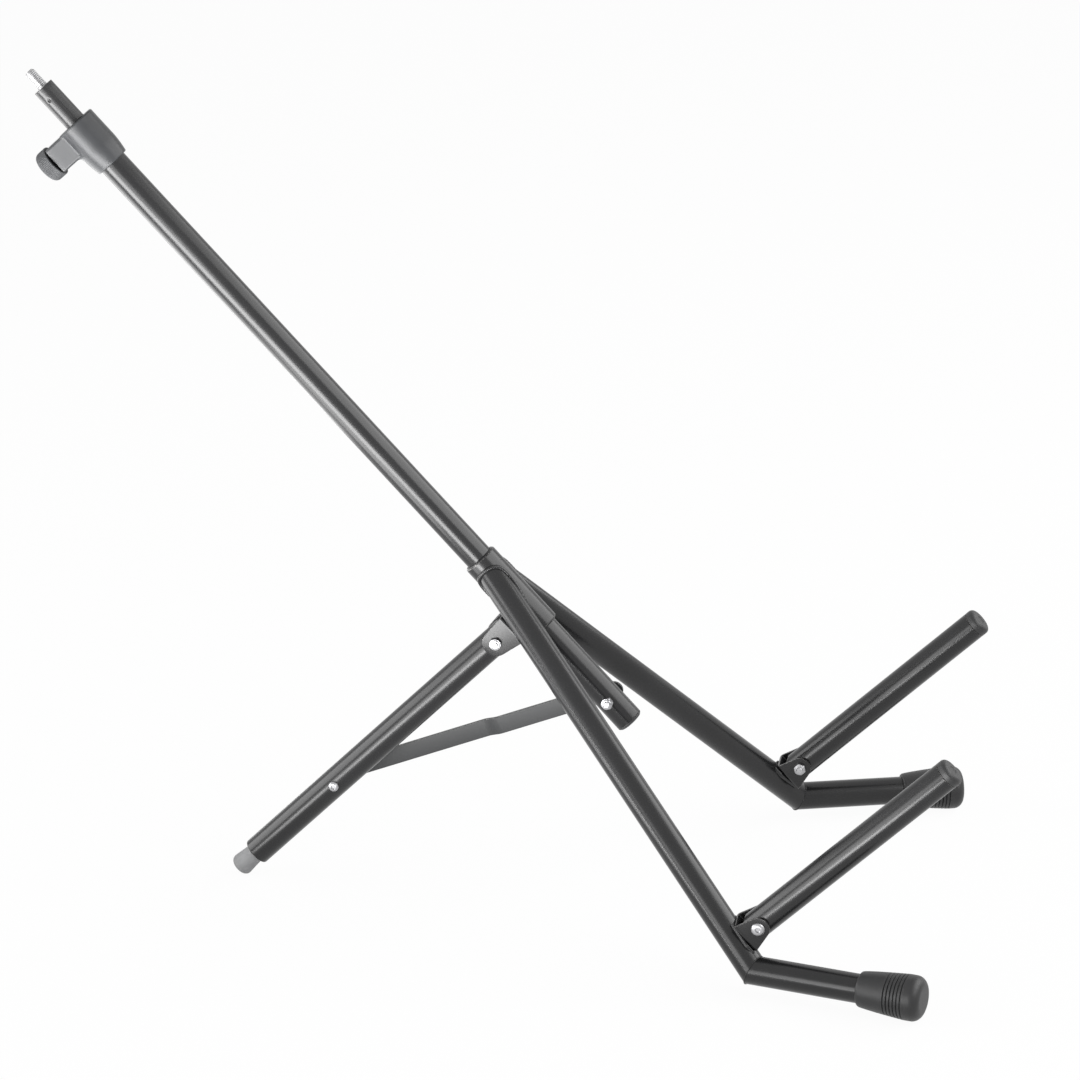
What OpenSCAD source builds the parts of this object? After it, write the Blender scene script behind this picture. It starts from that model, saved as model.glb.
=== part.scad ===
// Folding amp stand with a telescopic post: a tripod of round tubes that carries an amplifier
// leaning back, with a threaded stud on top for a microphone boom. Millimetres, +Z up, front
// at -Y, origin on the floor under the middle of the whole stand.

/* [Stance] */
// Angle of the post above the floor
mast_angle = 47.6; // [40:0.1:60]
// Angle of the rear leg above the floor
leg_angle = 44.1; // [38:0.1:50]
// Outward turn of the front feet from straight ahead
foot_splay = 16.2; // [0:0.1:25]

/* [Post] */
// Outside diameter of the main tubes
tube_d = 25.4; // [22:0.1:28]
// Wall of the main tubes
tube_wall = 1.5; // [1:0.1:2.5]
// Distance along the post from the floor to its lower end
mast_low = 225; // [200:1:235]
// Distance along the post from the floor to the top of the outer tube
mast_top = 910; // [800:1:1000]
// Outside diameter of the sliding upper tube
inner_d = 19.05; // [18:0.05:19.5]
// Wall of the sliding upper tube
inner_wall = 1.2; // [1:0.1:2]
// Length of the sliding upper tube
inner_length = 560; // [460:1:600]
// Length of the upper tube that shows above the collar
inner_show = 41.2; // [38:0.1:60]

/* [Boom stud] */
// Diameter of the boom thread
stud_d = 9.52; // [8:0.01:12]
// Length of the stud above the upper tube
stud_show = 18.3; // [12:0.1:30]
// Length of the stud's root inside the upper tube
stud_root = 25; // [15:1:40]
// Chamfer at the stud's tip
stud_chamfer = 1.8; // [0.5:0.1:3]

/* [Height clutch] */
// Length of the collar that joins the two tubes
collar_length = 47.5; // [40:0.5:60]
// Outside diameter of the collar
collar_d = 35; // [34:0.5:40]
// Outside diameter of the collar's lower end
collar_low_d = 31; // [30:0.5:34]
// Depth of the socket that sits over the outer tube
socket_depth = 15; // [12:1:20]
// Width of the clamp boss along the post
boss_width = 25; // [20:0.5:28]
// Reach of the clamp boss from the post axis
boss_reach = 35.5; // [30:0.5:40]
// Diameter of the clamp knob
knob_d = 29.4; // [24:0.1:36]
// Thickness of the clamp knob
knob_thick = 13; // [10:0.5:18]
// Diameter of the clamp screw
screw_d = 6; // [5:0.5:6.5]

/* [Hub and rear leg] */
// Distance along the post from the floor to the meeting point of the front legs' axes
apex_up = 415; // [405:1:425]
// Distance along the post from the floor to the rear leg's axis
leg_up = 357.5; // [350:0.5:362]
// Distance of the rear leg's pivot behind the post axis
leg_back = 38; // [36:0.5:44]
// Wall of the hub sleeve
sleeve_wall = 3.2; // [2.5:0.1:3.6]
// Sheet thickness of the brackets
sheet = 2.2; // [1.5:0.1:2.6]
// Diameter of the pivot bolts
bolt_d = 6; // [5:0.5:8]
// Visible length of the rear leg's rubber foot
rear_foot_show = 23; // [18:1:36]
// Largest diameter of the rear leg's rubber foot
rear_foot_d = 20.4; // [18:0.1:24]

/* [Brace] */
// Distance of the brace bolt down the leg from its pivot
brace_down = 207; // [190:1:220]
// Distance along the post from the floor to the stud that the brace hooks over
hook_up = 251; // [245:1:260]
// Width of the brace bar
brace_width = 16; // [14:0.5:18]
// Thickness of the brace bar
brace_thick = 3; // [2:0.5:4]
// Gap between the post and the hooked end of the brace bar
brace_gap = 4.5; // [4.2:0.1:6]

/* [Front feet] */
// Distance of each front bend from the middle
bend_out = 203; // [180:1:230]
// Length of each front foot from its bend to the end of the rubber cap
foot_length = 155; // [130:1:190]
// Length of the front rubber caps
cap_length = 57.5; // [45:0.5:70]
// Largest diameter of the front rubber caps
cap_d = 39.6; // [36:0.1:46]
// Number of ring grooves round each front cap
cap_grooves = 6; // [4:1:7]

/* [Support arms] */
// Distance along the post from the floor to the arms' axes
arm_up = 53; // [50:0.5:60]
// Length of each arm from its leg to its tip
arm_length = 236; // [160:1:300]

/* [Hidden] */
$fn = 64;

// Finishes
black_tube = [0.07, 0.07, 0.075];
grey_plastic = [0.33, 0.34, 0.35];
black_rubber = [0.11, 0.11, 0.115];
bright_zinc = [0.78, 0.79, 0.80];
brass = [0.72, 0.58, 0.30];
pale_nylon = [0.62, 0.62, 0.58];

// Clearances and the overrun of every cut
seat_gap = 0.05;
run_gap = 0.08;
side_gap = 0.4;
stop_gap = 0.3;
overrun = 1;

// Radii that follow from the diameters
tube_r = tube_d / 2;
tube_bore = tube_r - tube_wall;
inner_r = inner_d / 2;
inner_bore = inner_r - inner_wall;
stud_r = stud_d / 2;
bolt_r = bolt_d / 2;
screw_r = screw_d / 2;
cap_r = cap_d / 2;
rear_foot_r = rear_foot_d / 2;
brace_r = brace_width / 2;
sleeve_r = tube_r + sleeve_wall;

// Direction of the post, upwards along it
up_post = [0, cos(mast_angle), sin(mast_angle)];

// Collar
collar_low = mast_top - socket_depth;
collar_top = collar_low + collar_length;
collar_r = collar_d / 2;
collar_low_r = collar_low_d / 2;
collar_lip = 3;
collar_round = 1.6;
collar_shoulder_share = 0.4;
liner_r = tube_r + seat_gap;
liner_top = collar_top - collar_lip;
boss_drop = 0.8;
boss_up = collar_top - boss_drop - boss_width / 2;
boss_height = 22;
boss_corner = 2.5;
boss_root = inner_r + inner_wall;
inner_top = collar_top + inner_show;
inner_low = inner_top - inner_length;
guide_length = 24;
guide_head = 4;
stud_tip = inner_top + stud_show;

// Clamp screw, its pad and its knob
pad_rim = 0.9;
pad_r = screw_r + pad_rim;
pad_length = 3.4;
pad_in = inner_r + run_gap;
pad_out = pad_in + pad_length;
nut_wall = 2.6;
nut_r = screw_r + nut_wall;
pad_room = 6.5;
nut_in = boss_root + pad_room;
nut_length = 9;
washer_thick = 1.2;
washer_in = boss_reach + stop_gap;
knob_in = washer_in + washer_thick;
knob_r = knob_d / 2;
knob_round = 3;
knob_bore_depth_share = 0.6;
knob_rim = 2.3;
knob_hollow = 5;
knob_hub_r = 6.2;
flute_count = 48;
flute_r = 0.6;

// Rear leg: pivot, leg direction and fold
leg_fold = 180 - mast_angle - leg_angle;
pivot_up = leg_up - leg_back / tan(leg_fold);
pivot_height = pivot_up * sin(mast_angle) - leg_back * cos(mast_angle);
foot_edge = 4.8;
foot_centre = (pivot_height - foot_edge - (rear_foot_r - foot_edge) * cos(leg_angle)) / sin(leg_angle);
foot_end = foot_centre + foot_edge;
leg_length = foot_end - rear_foot_show;
leg_stub = 11;
bracket_half = 15;
bracket_nose = 12;
bracket_in = tube_r + side_gap;
head_thin = 1.5;
head_r = bolt_d;
head_low_r = bolt_d * 0.79;
nut_thick = bolt_d * 0.8;
nut_across_r = bolt_d * 0.95;
washer_r = bolt_d * 1.1;
saddle_in = tube_r - side_gap;
saddle_out = bracket_in - run_gap;
plug_depth = 34;
foot_root = 22;
foot_neck_share = 0.86;

// Brace bar: from the leg's bolt to the stud on the post
brace_in = tube_r + brace_gap;
brace_out = brace_in + brace_thick;
hook_head = 1.2;
brace_jog = brace_thick + hook_head + 2 * stop_gap;
jog_start = 142;
jog_run = 15;
jog_inset = brace_thick * tan(atan2(brace_jog, jog_run) / 2);
bar_in = brace_in + brace_jog;
bar_out = bar_in + brace_thick;
bolt_up = pivot_up - brace_down * cos(leg_fold);
bolt_back = leg_back + brace_down * sin(leg_fold);
brace_span = norm([bolt_back, bolt_up - hook_up]);
brace_slope = atan2(bolt_up - hook_up, bolt_back);
hook_r = 4;
hook_seat = hook_r + stop_gap;
hook_finger = 6;
hook_entry = 37;
hook_ring_r = 6.5;
hook_head_r = 7;
spacer_r = 5.5;

// Front legs, feet and their bends
bend_height = cap_r;
bend_up = bend_height / sin(mast_angle);
leg_spread = atan2(bend_out, apex_up - bend_up);
sleeve_low = pivot_up - bracket_half - sheet;
sleeve_top = apex_up + sleeve_wall * 2;
front_leg_span = (apex_up - bend_up) / cos(leg_spread);
foot_root_length = foot_length - cap_length;
cap_wall_end = 9;
cap_mouth_wall = 1.6;
cap_step_wall = 3.2;
cap_neck_wall = 4.4;
cap_mouth_r = tube_r + cap_mouth_wall;
cap_step_r = tube_r + cap_step_wall;
cap_neck_r = tube_r + cap_neck_wall;
cap_round = 9;
groove_depth = 0.9;
groove_pitch = 3.2;
groove_width = 1.1;
groove_from_end = 15;
mast_plug_head = 3;

// Support arms and their forks
arm_out = (apex_up - arm_up) * tan(leg_spread);
fork_web_out = tube_r + sheet;
arm_stub = tube_r + stop_gap * 3;
arm_pivot_out = fork_web_out + arm_stub + stop_gap;
fork_margin = 1.5;
fork_half = tube_r + fork_margin;
fork_nose = 10;
fork_in = tube_r + side_gap;
arm_plug_depth = 46;
arm_cap_head = 8;
arm_cap_root = 20;
arm_tip = arm_length + tube_r;

// Middle of the whole stand, from its frontmost and rearmost points: the arms' tips or the
// front feet, and the boom stud's tip
cap_front = (foot_length - cap_round) * cos(foot_splay) + (cap_r - cap_round) * sin(foot_splay)
    + cap_round;
arm_round = arm_cap_head / 2;
arm_front = (arm_tip - arm_round) * sin(mast_angle)
    + (tube_r - arm_round - arm_up) * cos(mast_angle) + arm_round;
front_y = min(bend_up * cos(mast_angle) - cap_front, -arm_front);
rear_y = max(stud_tip * cos(mast_angle) + (stud_r - stud_chamfer) * sin(mast_angle),
    (stud_tip - stud_chamfer) * cos(mast_angle) + stud_r * sin(mast_angle));
middle_y = (front_y + rear_y) / 2;

// Helpers

function unit(v) = v / norm(v);

// The stand's own place: the post axis meets the floor at [0, 0, 0] inside it
module stand() {
    translate([0, -middle_y, 0])
        children();
}

// The post's place: X stays across, Y points square behind the post and Z runs up along it
module on_post() {
    stand()
        rotate([mast_angle - 90, 0, 0])
            children();
}

// The rear leg's place: origin at the pivot, Z down along the leg, X across
module on_leg() {
    on_post()
        translate([0, leg_back, pivot_up])
            rotate([leg_fold - 180, 0, 0])
                children();
}

// The brace's place: a drawing's X runs along the bar from its bolt to the post, its Y upwards,
// and the drawing's face is the far side of the bar at its bolt
module on_brace() {
    on_post()
        translate([bar_out, bolt_back, bolt_up])
            rotate([brace_slope, 0, 0])
                rotate([90, 0, -90])
                    children();
}

// An arm's place: origin at the post side of the arm's axis, Z forwards along the arm
module on_arm(side) {
    on_post()
        translate([side * arm_out, 0, arm_up])
            rotate([90, 0, 0])
                children();
}

// Puts Z along a direction, at a point
module along(point, direction) {
    translate(point)
        rotate([0, acos(direction.z / norm(direction)), atan2(direction.y, direction.x)])
            children();
}

// Turns a Z-axis shape so that it runs across, along X
module across() {
    rotate([0, 90, 0])
        children();
}

module tube(outer, bore, length) {
    difference() {
        cylinder(r = outer, h = length);
        translate([0, 0, -overrun])
            cylinder(r = bore, h = length + 2 * overrun);
    }
}

module hex_nut(bore, thick) {
    difference() {
        cylinder(r = nut_across_r, h = thick, $fn = 6);
        translate([0, 0, -overrun])
            cylinder(r = bore, h = thick + 2 * overrun);
    }
}

module rounded_block(width, height, depth, corner) {
    linear_extrude(height = depth) {
        square([width - 2 * corner, height], center = true);
        square([width, height - 2 * corner], center = true);
        for (sx = [-1, 1])
            for (sy = [-1, 1])
                translate([sx * (width / 2 - corner), sy * (height / 2 - corner)])
                    circle(r = corner);
    }
}

// Upper tube, its boom stud and its guide

module thread_stud() {
    root_low = inner_top - stud_root;
    color(bright_zinc)
        on_post()
            rotate_extrude()
                polygon([
                    [0, root_low], [inner_bore - seat_gap, root_low],
                    [inner_bore - seat_gap, inner_top], [stud_r, inner_top],
                    [stud_r, stud_tip - stud_chamfer], [stud_r - stud_chamfer, stud_tip],
                    [0, stud_tip]]);
}

module inner_mast() {
    color(black_tube)
        on_post()
            translate([0, 0, inner_low])
                tube(inner_r, inner_bore, inner_length);
}

module inner_guide() {
    color(pale_nylon)
        on_post()
            translate([0, 0, inner_low]) {
                translate([0, 0, -guide_head])
                    cylinder(r = tube_bore - run_gap, h = guide_head);
                cylinder(r = inner_bore - seat_gap, h = guide_length);
            }
}

// Height clutch at the top of the post

module clutch_collar() {
    shoulder = collar_top - collar_length * (1 - collar_shoulder_share);
    color(grey_plastic)
        on_post()
            difference() {
                union() {
                    rotate_extrude()
                        polygon([
                            [0, collar_low], [collar_low_r, collar_low],
                            [collar_low_r, collar_low + collar_round],
                            [collar_r, shoulder], [collar_r, collar_top - collar_round],
                            [collar_r - collar_round, collar_top], [0, collar_top]]);
                    translate([0, 0, boss_up])
                        rotate([-90, 0, 0])
                            rounded_block(boss_height, boss_width, boss_reach, boss_corner);
                }
                translate([0, 0, collar_low - overrun])
                    cylinder(r = tube_r + seat_gap, h = socket_depth + overrun);
                translate([0, 0, mast_top - overrun])
                    cylinder(r = liner_r + seat_gap, h = liner_top - mast_top + overrun);
                translate([0, 0, collar_low])
                    cylinder(r = inner_r + side_gap, h = collar_length + overrun);
                translate([0, 0, boss_up])
                    rotate([-90, 0, 0]) {
                        cylinder(r = pad_r + run_gap, h = nut_in);
                        translate([0, 0, nut_in])
                            cylinder(r = nut_r, h = nut_length);
                        cylinder(r = screw_r + side_gap, h = boss_reach + overrun);
                    }
            }
}

module clutch_liner() {
    color(pale_nylon)
        on_post()
            difference() {
                translate([0, 0, mast_top])
                    tube(liner_r, inner_r + run_gap, liner_top - mast_top);
                translate([0, 0, boss_up])
                    rotate([-90, 0, 0])
                        cylinder(r = pad_r + run_gap, h = boss_reach);
            }
}

// A brass insert in the boss that carries the screw's thread
module clamp_nut() {
    color(brass)
        on_post()
            translate([0, nut_in, boss_up])
                rotate([-90, 0, 0])
                    tube(nut_r, screw_r + run_gap, nut_length);
}

module clamp_pad() {
    color(pale_nylon)
        on_post()
            difference() {
                translate([0, 0, boss_up])
                    rotate([-90, 0, 0])
                        cylinder(r = pad_r, h = pad_out);
                translate([0, 0, boss_up - boss_width])
                    cylinder(r = pad_in, h = 2 * boss_width);
            }
}

module clamp_screw() {
    color(bright_zinc)
        on_post()
            translate([0, pad_out, boss_up])
                rotate([-90, 0, 0])
                    cylinder(r = screw_r, h = knob_in + knob_thick * knob_bore_depth_share - pad_out);
}

module clamp_washer() {
    color(bright_zinc)
        on_post()
            translate([0, washer_in, boss_up])
                rotate([-90, 0, 0])
                    tube(screw_r * 2.4, screw_r, washer_thick);
}

module clamp_knob() {
    color(grey_plastic)
        on_post()
            translate([0, knob_in, boss_up])
                rotate([-90, 0, 0])
                    difference() {
                        rotate_extrude()
                            polygon([
                                [0, 0], [knob_r - knob_round / 2, 0], [knob_r, knob_round / 2],
                                [knob_r, knob_thick - knob_round],
                                [knob_r - knob_round / 2, knob_thick - knob_round / 3],
                                [knob_r - knob_round, knob_thick], [0, knob_thick]]);
                        for (i = [0:flute_count - 1])
                            rotate(i * 360 / flute_count)
                                translate([knob_r + flute_r / 2, 0, -overrun])
                                    cylinder(r = flute_r, h = knob_thick + 2 * overrun);
                        translate([0, 0, -overrun]) {
                            cylinder(r = screw_r, h = knob_thick * knob_bore_depth_share + overrun);
                            tube(knob_r - knob_rim, knob_hub_r, knob_hollow + overrun);
                        }
                    }
}

// Post, hub and the bracket of the rear leg

module mast_tube() {
    color(black_tube)
        on_post()
            difference() {
                translate([0, 0, mast_low])
                    tube(tube_r, tube_bore, mast_top - mast_low);
                translate([-2 * tube_r, 0, hook_up])
                    across()
                        cylinder(r = bolt_r, h = 4 * tube_r);
            }
}

module mast_plug() {
    color(black_rubber)
        on_post()
            translate([0, 0, mast_low])
                rotate_extrude()
                    polygon([
                        [0, -mast_plug_head], [tube_r - mast_plug_head, -mast_plug_head],
                        [tube_r, 0], [tube_bore - seat_gap, 0],
                        [tube_bore - seat_gap, mast_plug_head * 4], [0, mast_plug_head * 4]]);
}

module hub_sleeve() {
    color(black_tube)
        on_post()
            translate([0, 0, sleeve_low])
                tube(sleeve_r, tube_r + seat_gap, sleeve_top - sleeve_low);
}

module bracket_holes() {
    translate([-2 * tube_r, leg_back, pivot_up])
        across()
            cylinder(r = bolt_r + run_gap, h = 4 * tube_r);
}

// The point on a nose, round a centre on the X axis, where a straight edge from a corner touches it
function edge_touch(corner, centre, radius) =
    let (way = corner - [centre, 0], turn = atan2(way.y, way.x) - acos(radius / norm(way)))
    [centre, 0] + radius * [cos(turn), sin(turn)];

// Outline of a folded bracket's cheeks: straight to its web, then narrowing to a round nose
module cheek_outline(root, web, half, centre, nose) {
    touch = edge_touch([web, half], centre, nose);
    polygon([
        [root, -half], [web, -half], [touch.x, -touch.y], [centre, 0],
        [touch.x, touch.y], [web, half], [root, half]]);
    translate([centre, 0])
        circle(r = nose);
}

module leg_bracket() {
    outside = bracket_in + sheet;
    web = sleeve_r + sheet;
    color(black_tube)
        difference() {
            on_post()
                difference() {
                    translate([outside, 0, pivot_up])
                        rotate([90, 0, -90])
                            mirror([1, 0, 0])
                                linear_extrude(height = 2 * outside)
                                    cheek_outline(sleeve_r / 2, web, bracket_half, leg_back, bracket_nose);
                    translate([-bracket_in, web, pivot_up - bracket_half - overrun])
                        cube([2 * bracket_in, leg_back + bracket_nose, 2 * (bracket_half + overrun)]);
                    translate([0, 0, pivot_up - bracket_half - overrun])
                        cylinder(r = sleeve_r, h = 2 * (bracket_half + overrun));
                    bracket_holes();
                }
            stand()
                for (side = [-1, 1])
                    along(bend_point(side) - leg_way(side) * front_leg_span, leg_way(side))
                        cylinder(r = tube_r + seat_gap, h = front_leg_span);
        }
}

module leg_pivot_bolt() {
    outside = bracket_in + sheet;
    color(bright_zinc)
        on_post()
            translate([0, leg_back, pivot_up])
                across() {
                    translate([0, 0, -outside - nut_thick - head_thin])
                        cylinder(r = bolt_r, h = 2 * outside + nut_thick + head_thin);
                    translate([0, 0, outside])
                        cylinder(r = head_r, h = head_thin);
                }
}

module leg_pivot_nut() {
    color(bright_zinc)
        on_post()
            translate([-bracket_in - sheet - nut_thick, leg_back, pivot_up])
                across()
                    hex_nut(bolt_r, nut_thick);
}

// A pair of washers hollowed to sit on a round tube, either side of it, with flat outer faces
module saddle_washers() {
    for (side = [-1, 1])
        difference() {
            rotate([0, side * 90, 0])
                translate([0, 0, saddle_in])
                    tube(washer_r, bolt_r + run_gap, saddle_out - saddle_in);
            cylinder(r = tube_r, h = 4 * washer_r, center = true);
        }
}

module leg_pivot_washers() {
    color(pale_nylon)
        on_leg()
            saddle_washers();
}

module cross_bore(distance, radius) {
    translate([-2 * tube_r, 0, distance])
        across()
            cylinder(r = radius, h = 4 * tube_r);
}

module rear_leg() {
    color(black_tube)
        on_leg()
            difference() {
                translate([0, 0, -leg_stub])
                    tube(tube_r, tube_bore, leg_length + leg_stub);
                cross_bore(0, bolt_r + run_gap);
                cross_bore(brace_down, bolt_r);
            }
}

module leg_top_plug() {
    color(pale_nylon)
        on_leg()
            difference() {
                translate([0, 0, -leg_stub])
                    cylinder(r = tube_bore - seat_gap, h = plug_depth);
                cross_bore(0, bolt_r + run_gap);
            }
}

module rear_foot() {
    neck = rear_foot_r * foot_neck_share;
    color(black_rubber)
        on_leg() {
            translate([0, 0, leg_length - foot_root])
                cylinder(r = tube_bore - seat_gap, h = foot_root);
            translate([0, 0, leg_length])
                cylinder(r1 = neck, r2 = rear_foot_r, h = foot_centre - leg_length);
            translate([0, 0, foot_centre]) {
                cylinder(r = rear_foot_r - foot_edge, h = foot_edge);
                rotate_extrude()
                    intersection() {
                        translate([rear_foot_r - foot_edge, 0])
                            circle(r = foot_edge);
                        square([rear_foot_r, foot_edge]);
                    }
            }
        }
}

// Brace bar with its rivet-like bolt on the leg and its hook over the stud on the post

// The hook's mouth opens down, and slants back along the way the stud leaves when the leg folds
module hook_mouth() {
    lower = -brace_r - overrun;
    seat_x = hook_seat * sin(hook_entry);
    seat_y = hook_seat * cos(hook_entry);
    circle(r = hook_seat);
    polygon([
        [hook_seat, 0], [hook_seat, lower],
        [-seat_x - (seat_y - lower) / tan(hook_entry), lower], [-seat_x, seat_y]]);
}

// Bar seen from above: it steps inwards past the head of the stud, so that its hooked end lies
// round the stud's neck, and the rest passes clear of the head when the leg folds
module brace_side(tip) {
    polygon([
        [-brace_r, 0], [jog_start, 0], [jog_start + jog_run, -brace_jog], [tip, -brace_jog],
        [tip, -brace_jog - brace_thick], [jog_start + jog_run - jog_inset, -brace_jog - brace_thick],
        [jog_start - jog_inset, -brace_thick], [-brace_r, -brace_thick]]);
}

module leg_brace() {
    tip = brace_span + hook_seat + hook_finger;
    color(black_tube)
        on_brace()
            intersection() {
                linear_extrude(height = brace_jog + brace_thick)
                    difference() {
                        union() {
                            circle(r = brace_r);
                            translate([0, -brace_r])
                                square([tip - brace_r, brace_width]);
                            translate([tip - brace_r, 0])
                                circle(r = brace_r);
                        }
                        circle(r = bolt_r + run_gap);
                        translate([brace_span, 0])
                            hook_mouth();
                    }
                translate([0, brace_width, 0])
                    rotate([90, 0, 0])
                        linear_extrude(height = 2 * brace_width)
                            mirror([0, 1, 0])
                                brace_side(tip);
            }
}

module brace_bolt() {
    far = bar_out + run_gap + nut_thick + head_thin / 2;
    near = tube_r + bolt_r;
    color(bright_zinc)
        on_leg()
            translate([0, 0, brace_down])
                difference() {
                    across() {
                        translate([0, 0, -near])
                            cylinder(r = bolt_r, h = near + far);
                        translate([0, 0, -near])
                            cylinder(r = head_low_r, h = near - tube_r / 2);
                    }
                    difference() {
                        cylinder(r = tube_r, h = 2 * tube_d, center = true);
                        across()
                            cylinder(r = bolt_r, h = 2 * tube_d, center = true);
                    }
                    across()
                        translate([0, 0, -near - overrun])
                            cylinder(r = bolt_r * 0.6, h = overrun + bolt_r / 2, $fn = 6);
                }
}

module brace_spacer() {
    color(bright_zinc)
        on_leg()
            difference() {
                translate([0, 0, brace_down])
                    across()
                        translate([0, 0, tube_r / 2])
                            tube(spacer_r, bolt_r, bar_in - run_gap - tube_r / 2);
                cylinder(r = tube_r, h = leg_length);
            }
}

module brace_nut() {
    color(bright_zinc)
        on_leg()
            translate([bar_out + run_gap, 0, brace_down])
                across()
                    hex_nut(bolt_r, nut_thick);
}

module hook_stud() {
    ring_out = brace_in - stop_gap;
    head_in = brace_out + stop_gap;
    color(bright_zinc)
        on_post()
            translate([0, 0, hook_up])
                difference() {
                    across() {
                        translate([0, 0, -tube_r - nut_thick - head_thin])
                            cylinder(r = bolt_r, h = 2 * tube_r + nut_thick + head_thin);
                        translate([0, 0, tube_r / 2])
                            cylinder(r = hook_ring_r, h = ring_out - tube_r / 2);
                        translate([0, 0, ring_out])
                            cylinder(r = hook_r, h = head_in - ring_out);
                        translate([0, 0, head_in])
                            cylinder(r = hook_head_r, h = hook_head);
                    }
                    difference() {
                        cylinder(r = tube_r, h = 2 * tube_d, center = true);
                        across()
                            cylinder(r = bolt_r, h = 2 * tube_d, center = true);
                    }
                }
}

module hook_nut() {
    color(bright_zinc)
        on_post()
            difference() {
                translate([-tube_r - nut_thick, 0, hook_up])
                    across()
                        hex_nut(bolt_r, nut_thick + head_thin);
                translate([0, 0, mast_low])
                    cylinder(r = tube_r, h = mast_top - mast_low);
            }
}

// Front legs and feet, mitred at the bends

function bend_point(side) = [side * bend_out, 0, 0] + up_post * bend_up;
function leg_way(side) = unit([side * bend_out, 0, 0] - up_post * (apex_up - bend_up));
function foot_way(side) = [side * sin(foot_splay), -cos(foot_splay), 0];
function mitre_way(side) = unit(leg_way(side) + foot_way(side));

// A block whose face is the mitre plane of one bend, beyond it or before it
module mitre_block(side, beyond) {
    reach = 2 * tube_d;
    along(bend_point(side), mitre_way(side))
        translate([-reach, -reach, beyond ? 0 : -reach])
            cube([2 * reach, 2 * reach, reach]);
}

module front_leg(side) {
    start = bend_point(side) - leg_way(side) * front_leg_span;
    color(black_tube)
        stand()
            difference() {
                along(start, leg_way(side))
                    tube(tube_r, tube_bore, front_leg_span + tube_d);
                mitre_block(side, true);
                along([0, 0, 0], up_post)
                    cylinder(r = sleeve_r, h = apex_up + tube_d * 2);
            }
}

module foot_tube(side) {
    color(black_tube)
        stand()
            difference() {
                along(bend_point(side) - foot_way(side) * tube_d, foot_way(side))
                    tube(tube_r, tube_bore, foot_length - cap_wall_end + tube_d);
                mitre_block(side, false);
            }
}

module front_cap(side) {
    start = foot_root_length;
    groove_start = foot_length - groove_from_end - (cap_grooves - 1) * groove_pitch;
    color(black_rubber)
        stand()
            along(bend_point(side), foot_way(side))
                difference() {
                    rotate_extrude()
                        union() {
                            polygon([
                                [0, start], [cap_mouth_r, start],
                                [cap_step_r, start + cap_round / 3],
                                [cap_neck_r, groove_start - groove_pitch],
                                [cap_r, foot_length - groove_from_end],
                                [cap_r, foot_length - cap_round], [0, foot_length - cap_round]]);
                            translate([cap_r - cap_round, foot_length - cap_round])
                                circle(r = cap_round);
                            translate([0, foot_length - cap_round - overrun])
                                square([cap_r - cap_round, cap_round + overrun]);
                        }
                    for (i = [0:cap_grooves - 1]) {
                        place = groove_start + i * groove_pitch;
                        share = i / (cap_grooves - 1);
                        rim = cap_neck_r + (cap_r - cap_neck_r) * share;
                        translate([0, 0, place])
                            tube(rim + cap_round, rim - groove_depth, groove_width);
                    }
                    cylinder(r = tube_r + seat_gap, h = foot_length - cap_wall_end);
                }
}

// Support arms, each in a fork on its front leg

module fork_bolt_hole(radius) {
    translate([-2 * tube_r, 0, arm_pivot_out])
        across()
            cylinder(r = radius, h = 4 * tube_r);
}

module arm_bracket(side) {
    outside = fork_in + sheet;
    color(black_tube)
        difference() {
            on_arm(side)
                difference() {
                    translate([-outside, 0, 0])
                        rotate([90, 0, 90])
                            rotate(90)
                                linear_extrude(height = 2 * outside)
                                    mirror([0, 1, 0])
                                        cheek_outline(tube_r / 2, fork_web_out, fork_half, arm_pivot_out,
                                            fork_nose);
                    translate([-fork_in, -fork_half - overrun, fork_web_out])
                        cube([2 * fork_in, 2 * (fork_half + overrun), arm_pivot_out + fork_nose]);
                    fork_bolt_hole(bolt_r + run_gap);
                }
            stand()
                along(bend_point(side) - leg_way(side) * front_leg_span, leg_way(side))
                    cylinder(r = tube_r, h = front_leg_span + tube_d);
        }
}

// Room for the arm to swing up: the back corner above its pivot is cut round
module swing_cut() {
    translate([0, 0, arm_pivot_out])
        difference() {
            translate([-tube_d, 0, -2 * tube_d])
                cube([2 * tube_d, 2 * tube_d, 2 * tube_d]);
            across()
                cylinder(r = arm_stub, h = 4 * tube_d, center = true);
        }
}

module support_arm(side) {
    start = arm_pivot_out - arm_stub;
    color(black_tube)
        on_arm(side)
            difference() {
                translate([0, 0, start])
                    tube(tube_r, tube_bore, arm_tip - arm_cap_head - start);
                fork_bolt_hole(bolt_r + run_gap);
                swing_cut();
            }
}

module arm_plug(side) {
    start = arm_pivot_out - arm_stub;
    color(pale_nylon)
        on_arm(side)
            difference() {
                translate([0, 0, start])
                    cylinder(r = tube_bore - seat_gap, h = arm_plug_depth);
                fork_bolt_hole(bolt_r + run_gap);
                swing_cut();
            }
}

module arm_cap(side) {
    start = arm_tip - arm_cap_head;
    color(black_rubber)
        on_arm(side)
            rotate_extrude()
                union() {
                    polygon([
                        [0, start - arm_cap_root], [tube_bore - seat_gap, start - arm_cap_root],
                        [tube_bore - seat_gap, start], [tube_r, start],
                        [tube_r, arm_tip - arm_round], [0, arm_tip - arm_round]]);
                    translate([tube_r - arm_round, arm_tip - arm_round])
                        circle(r = arm_round);
                    translate([0, start])
                        square([tube_r - arm_round, arm_cap_head]);
                }
}

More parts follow.
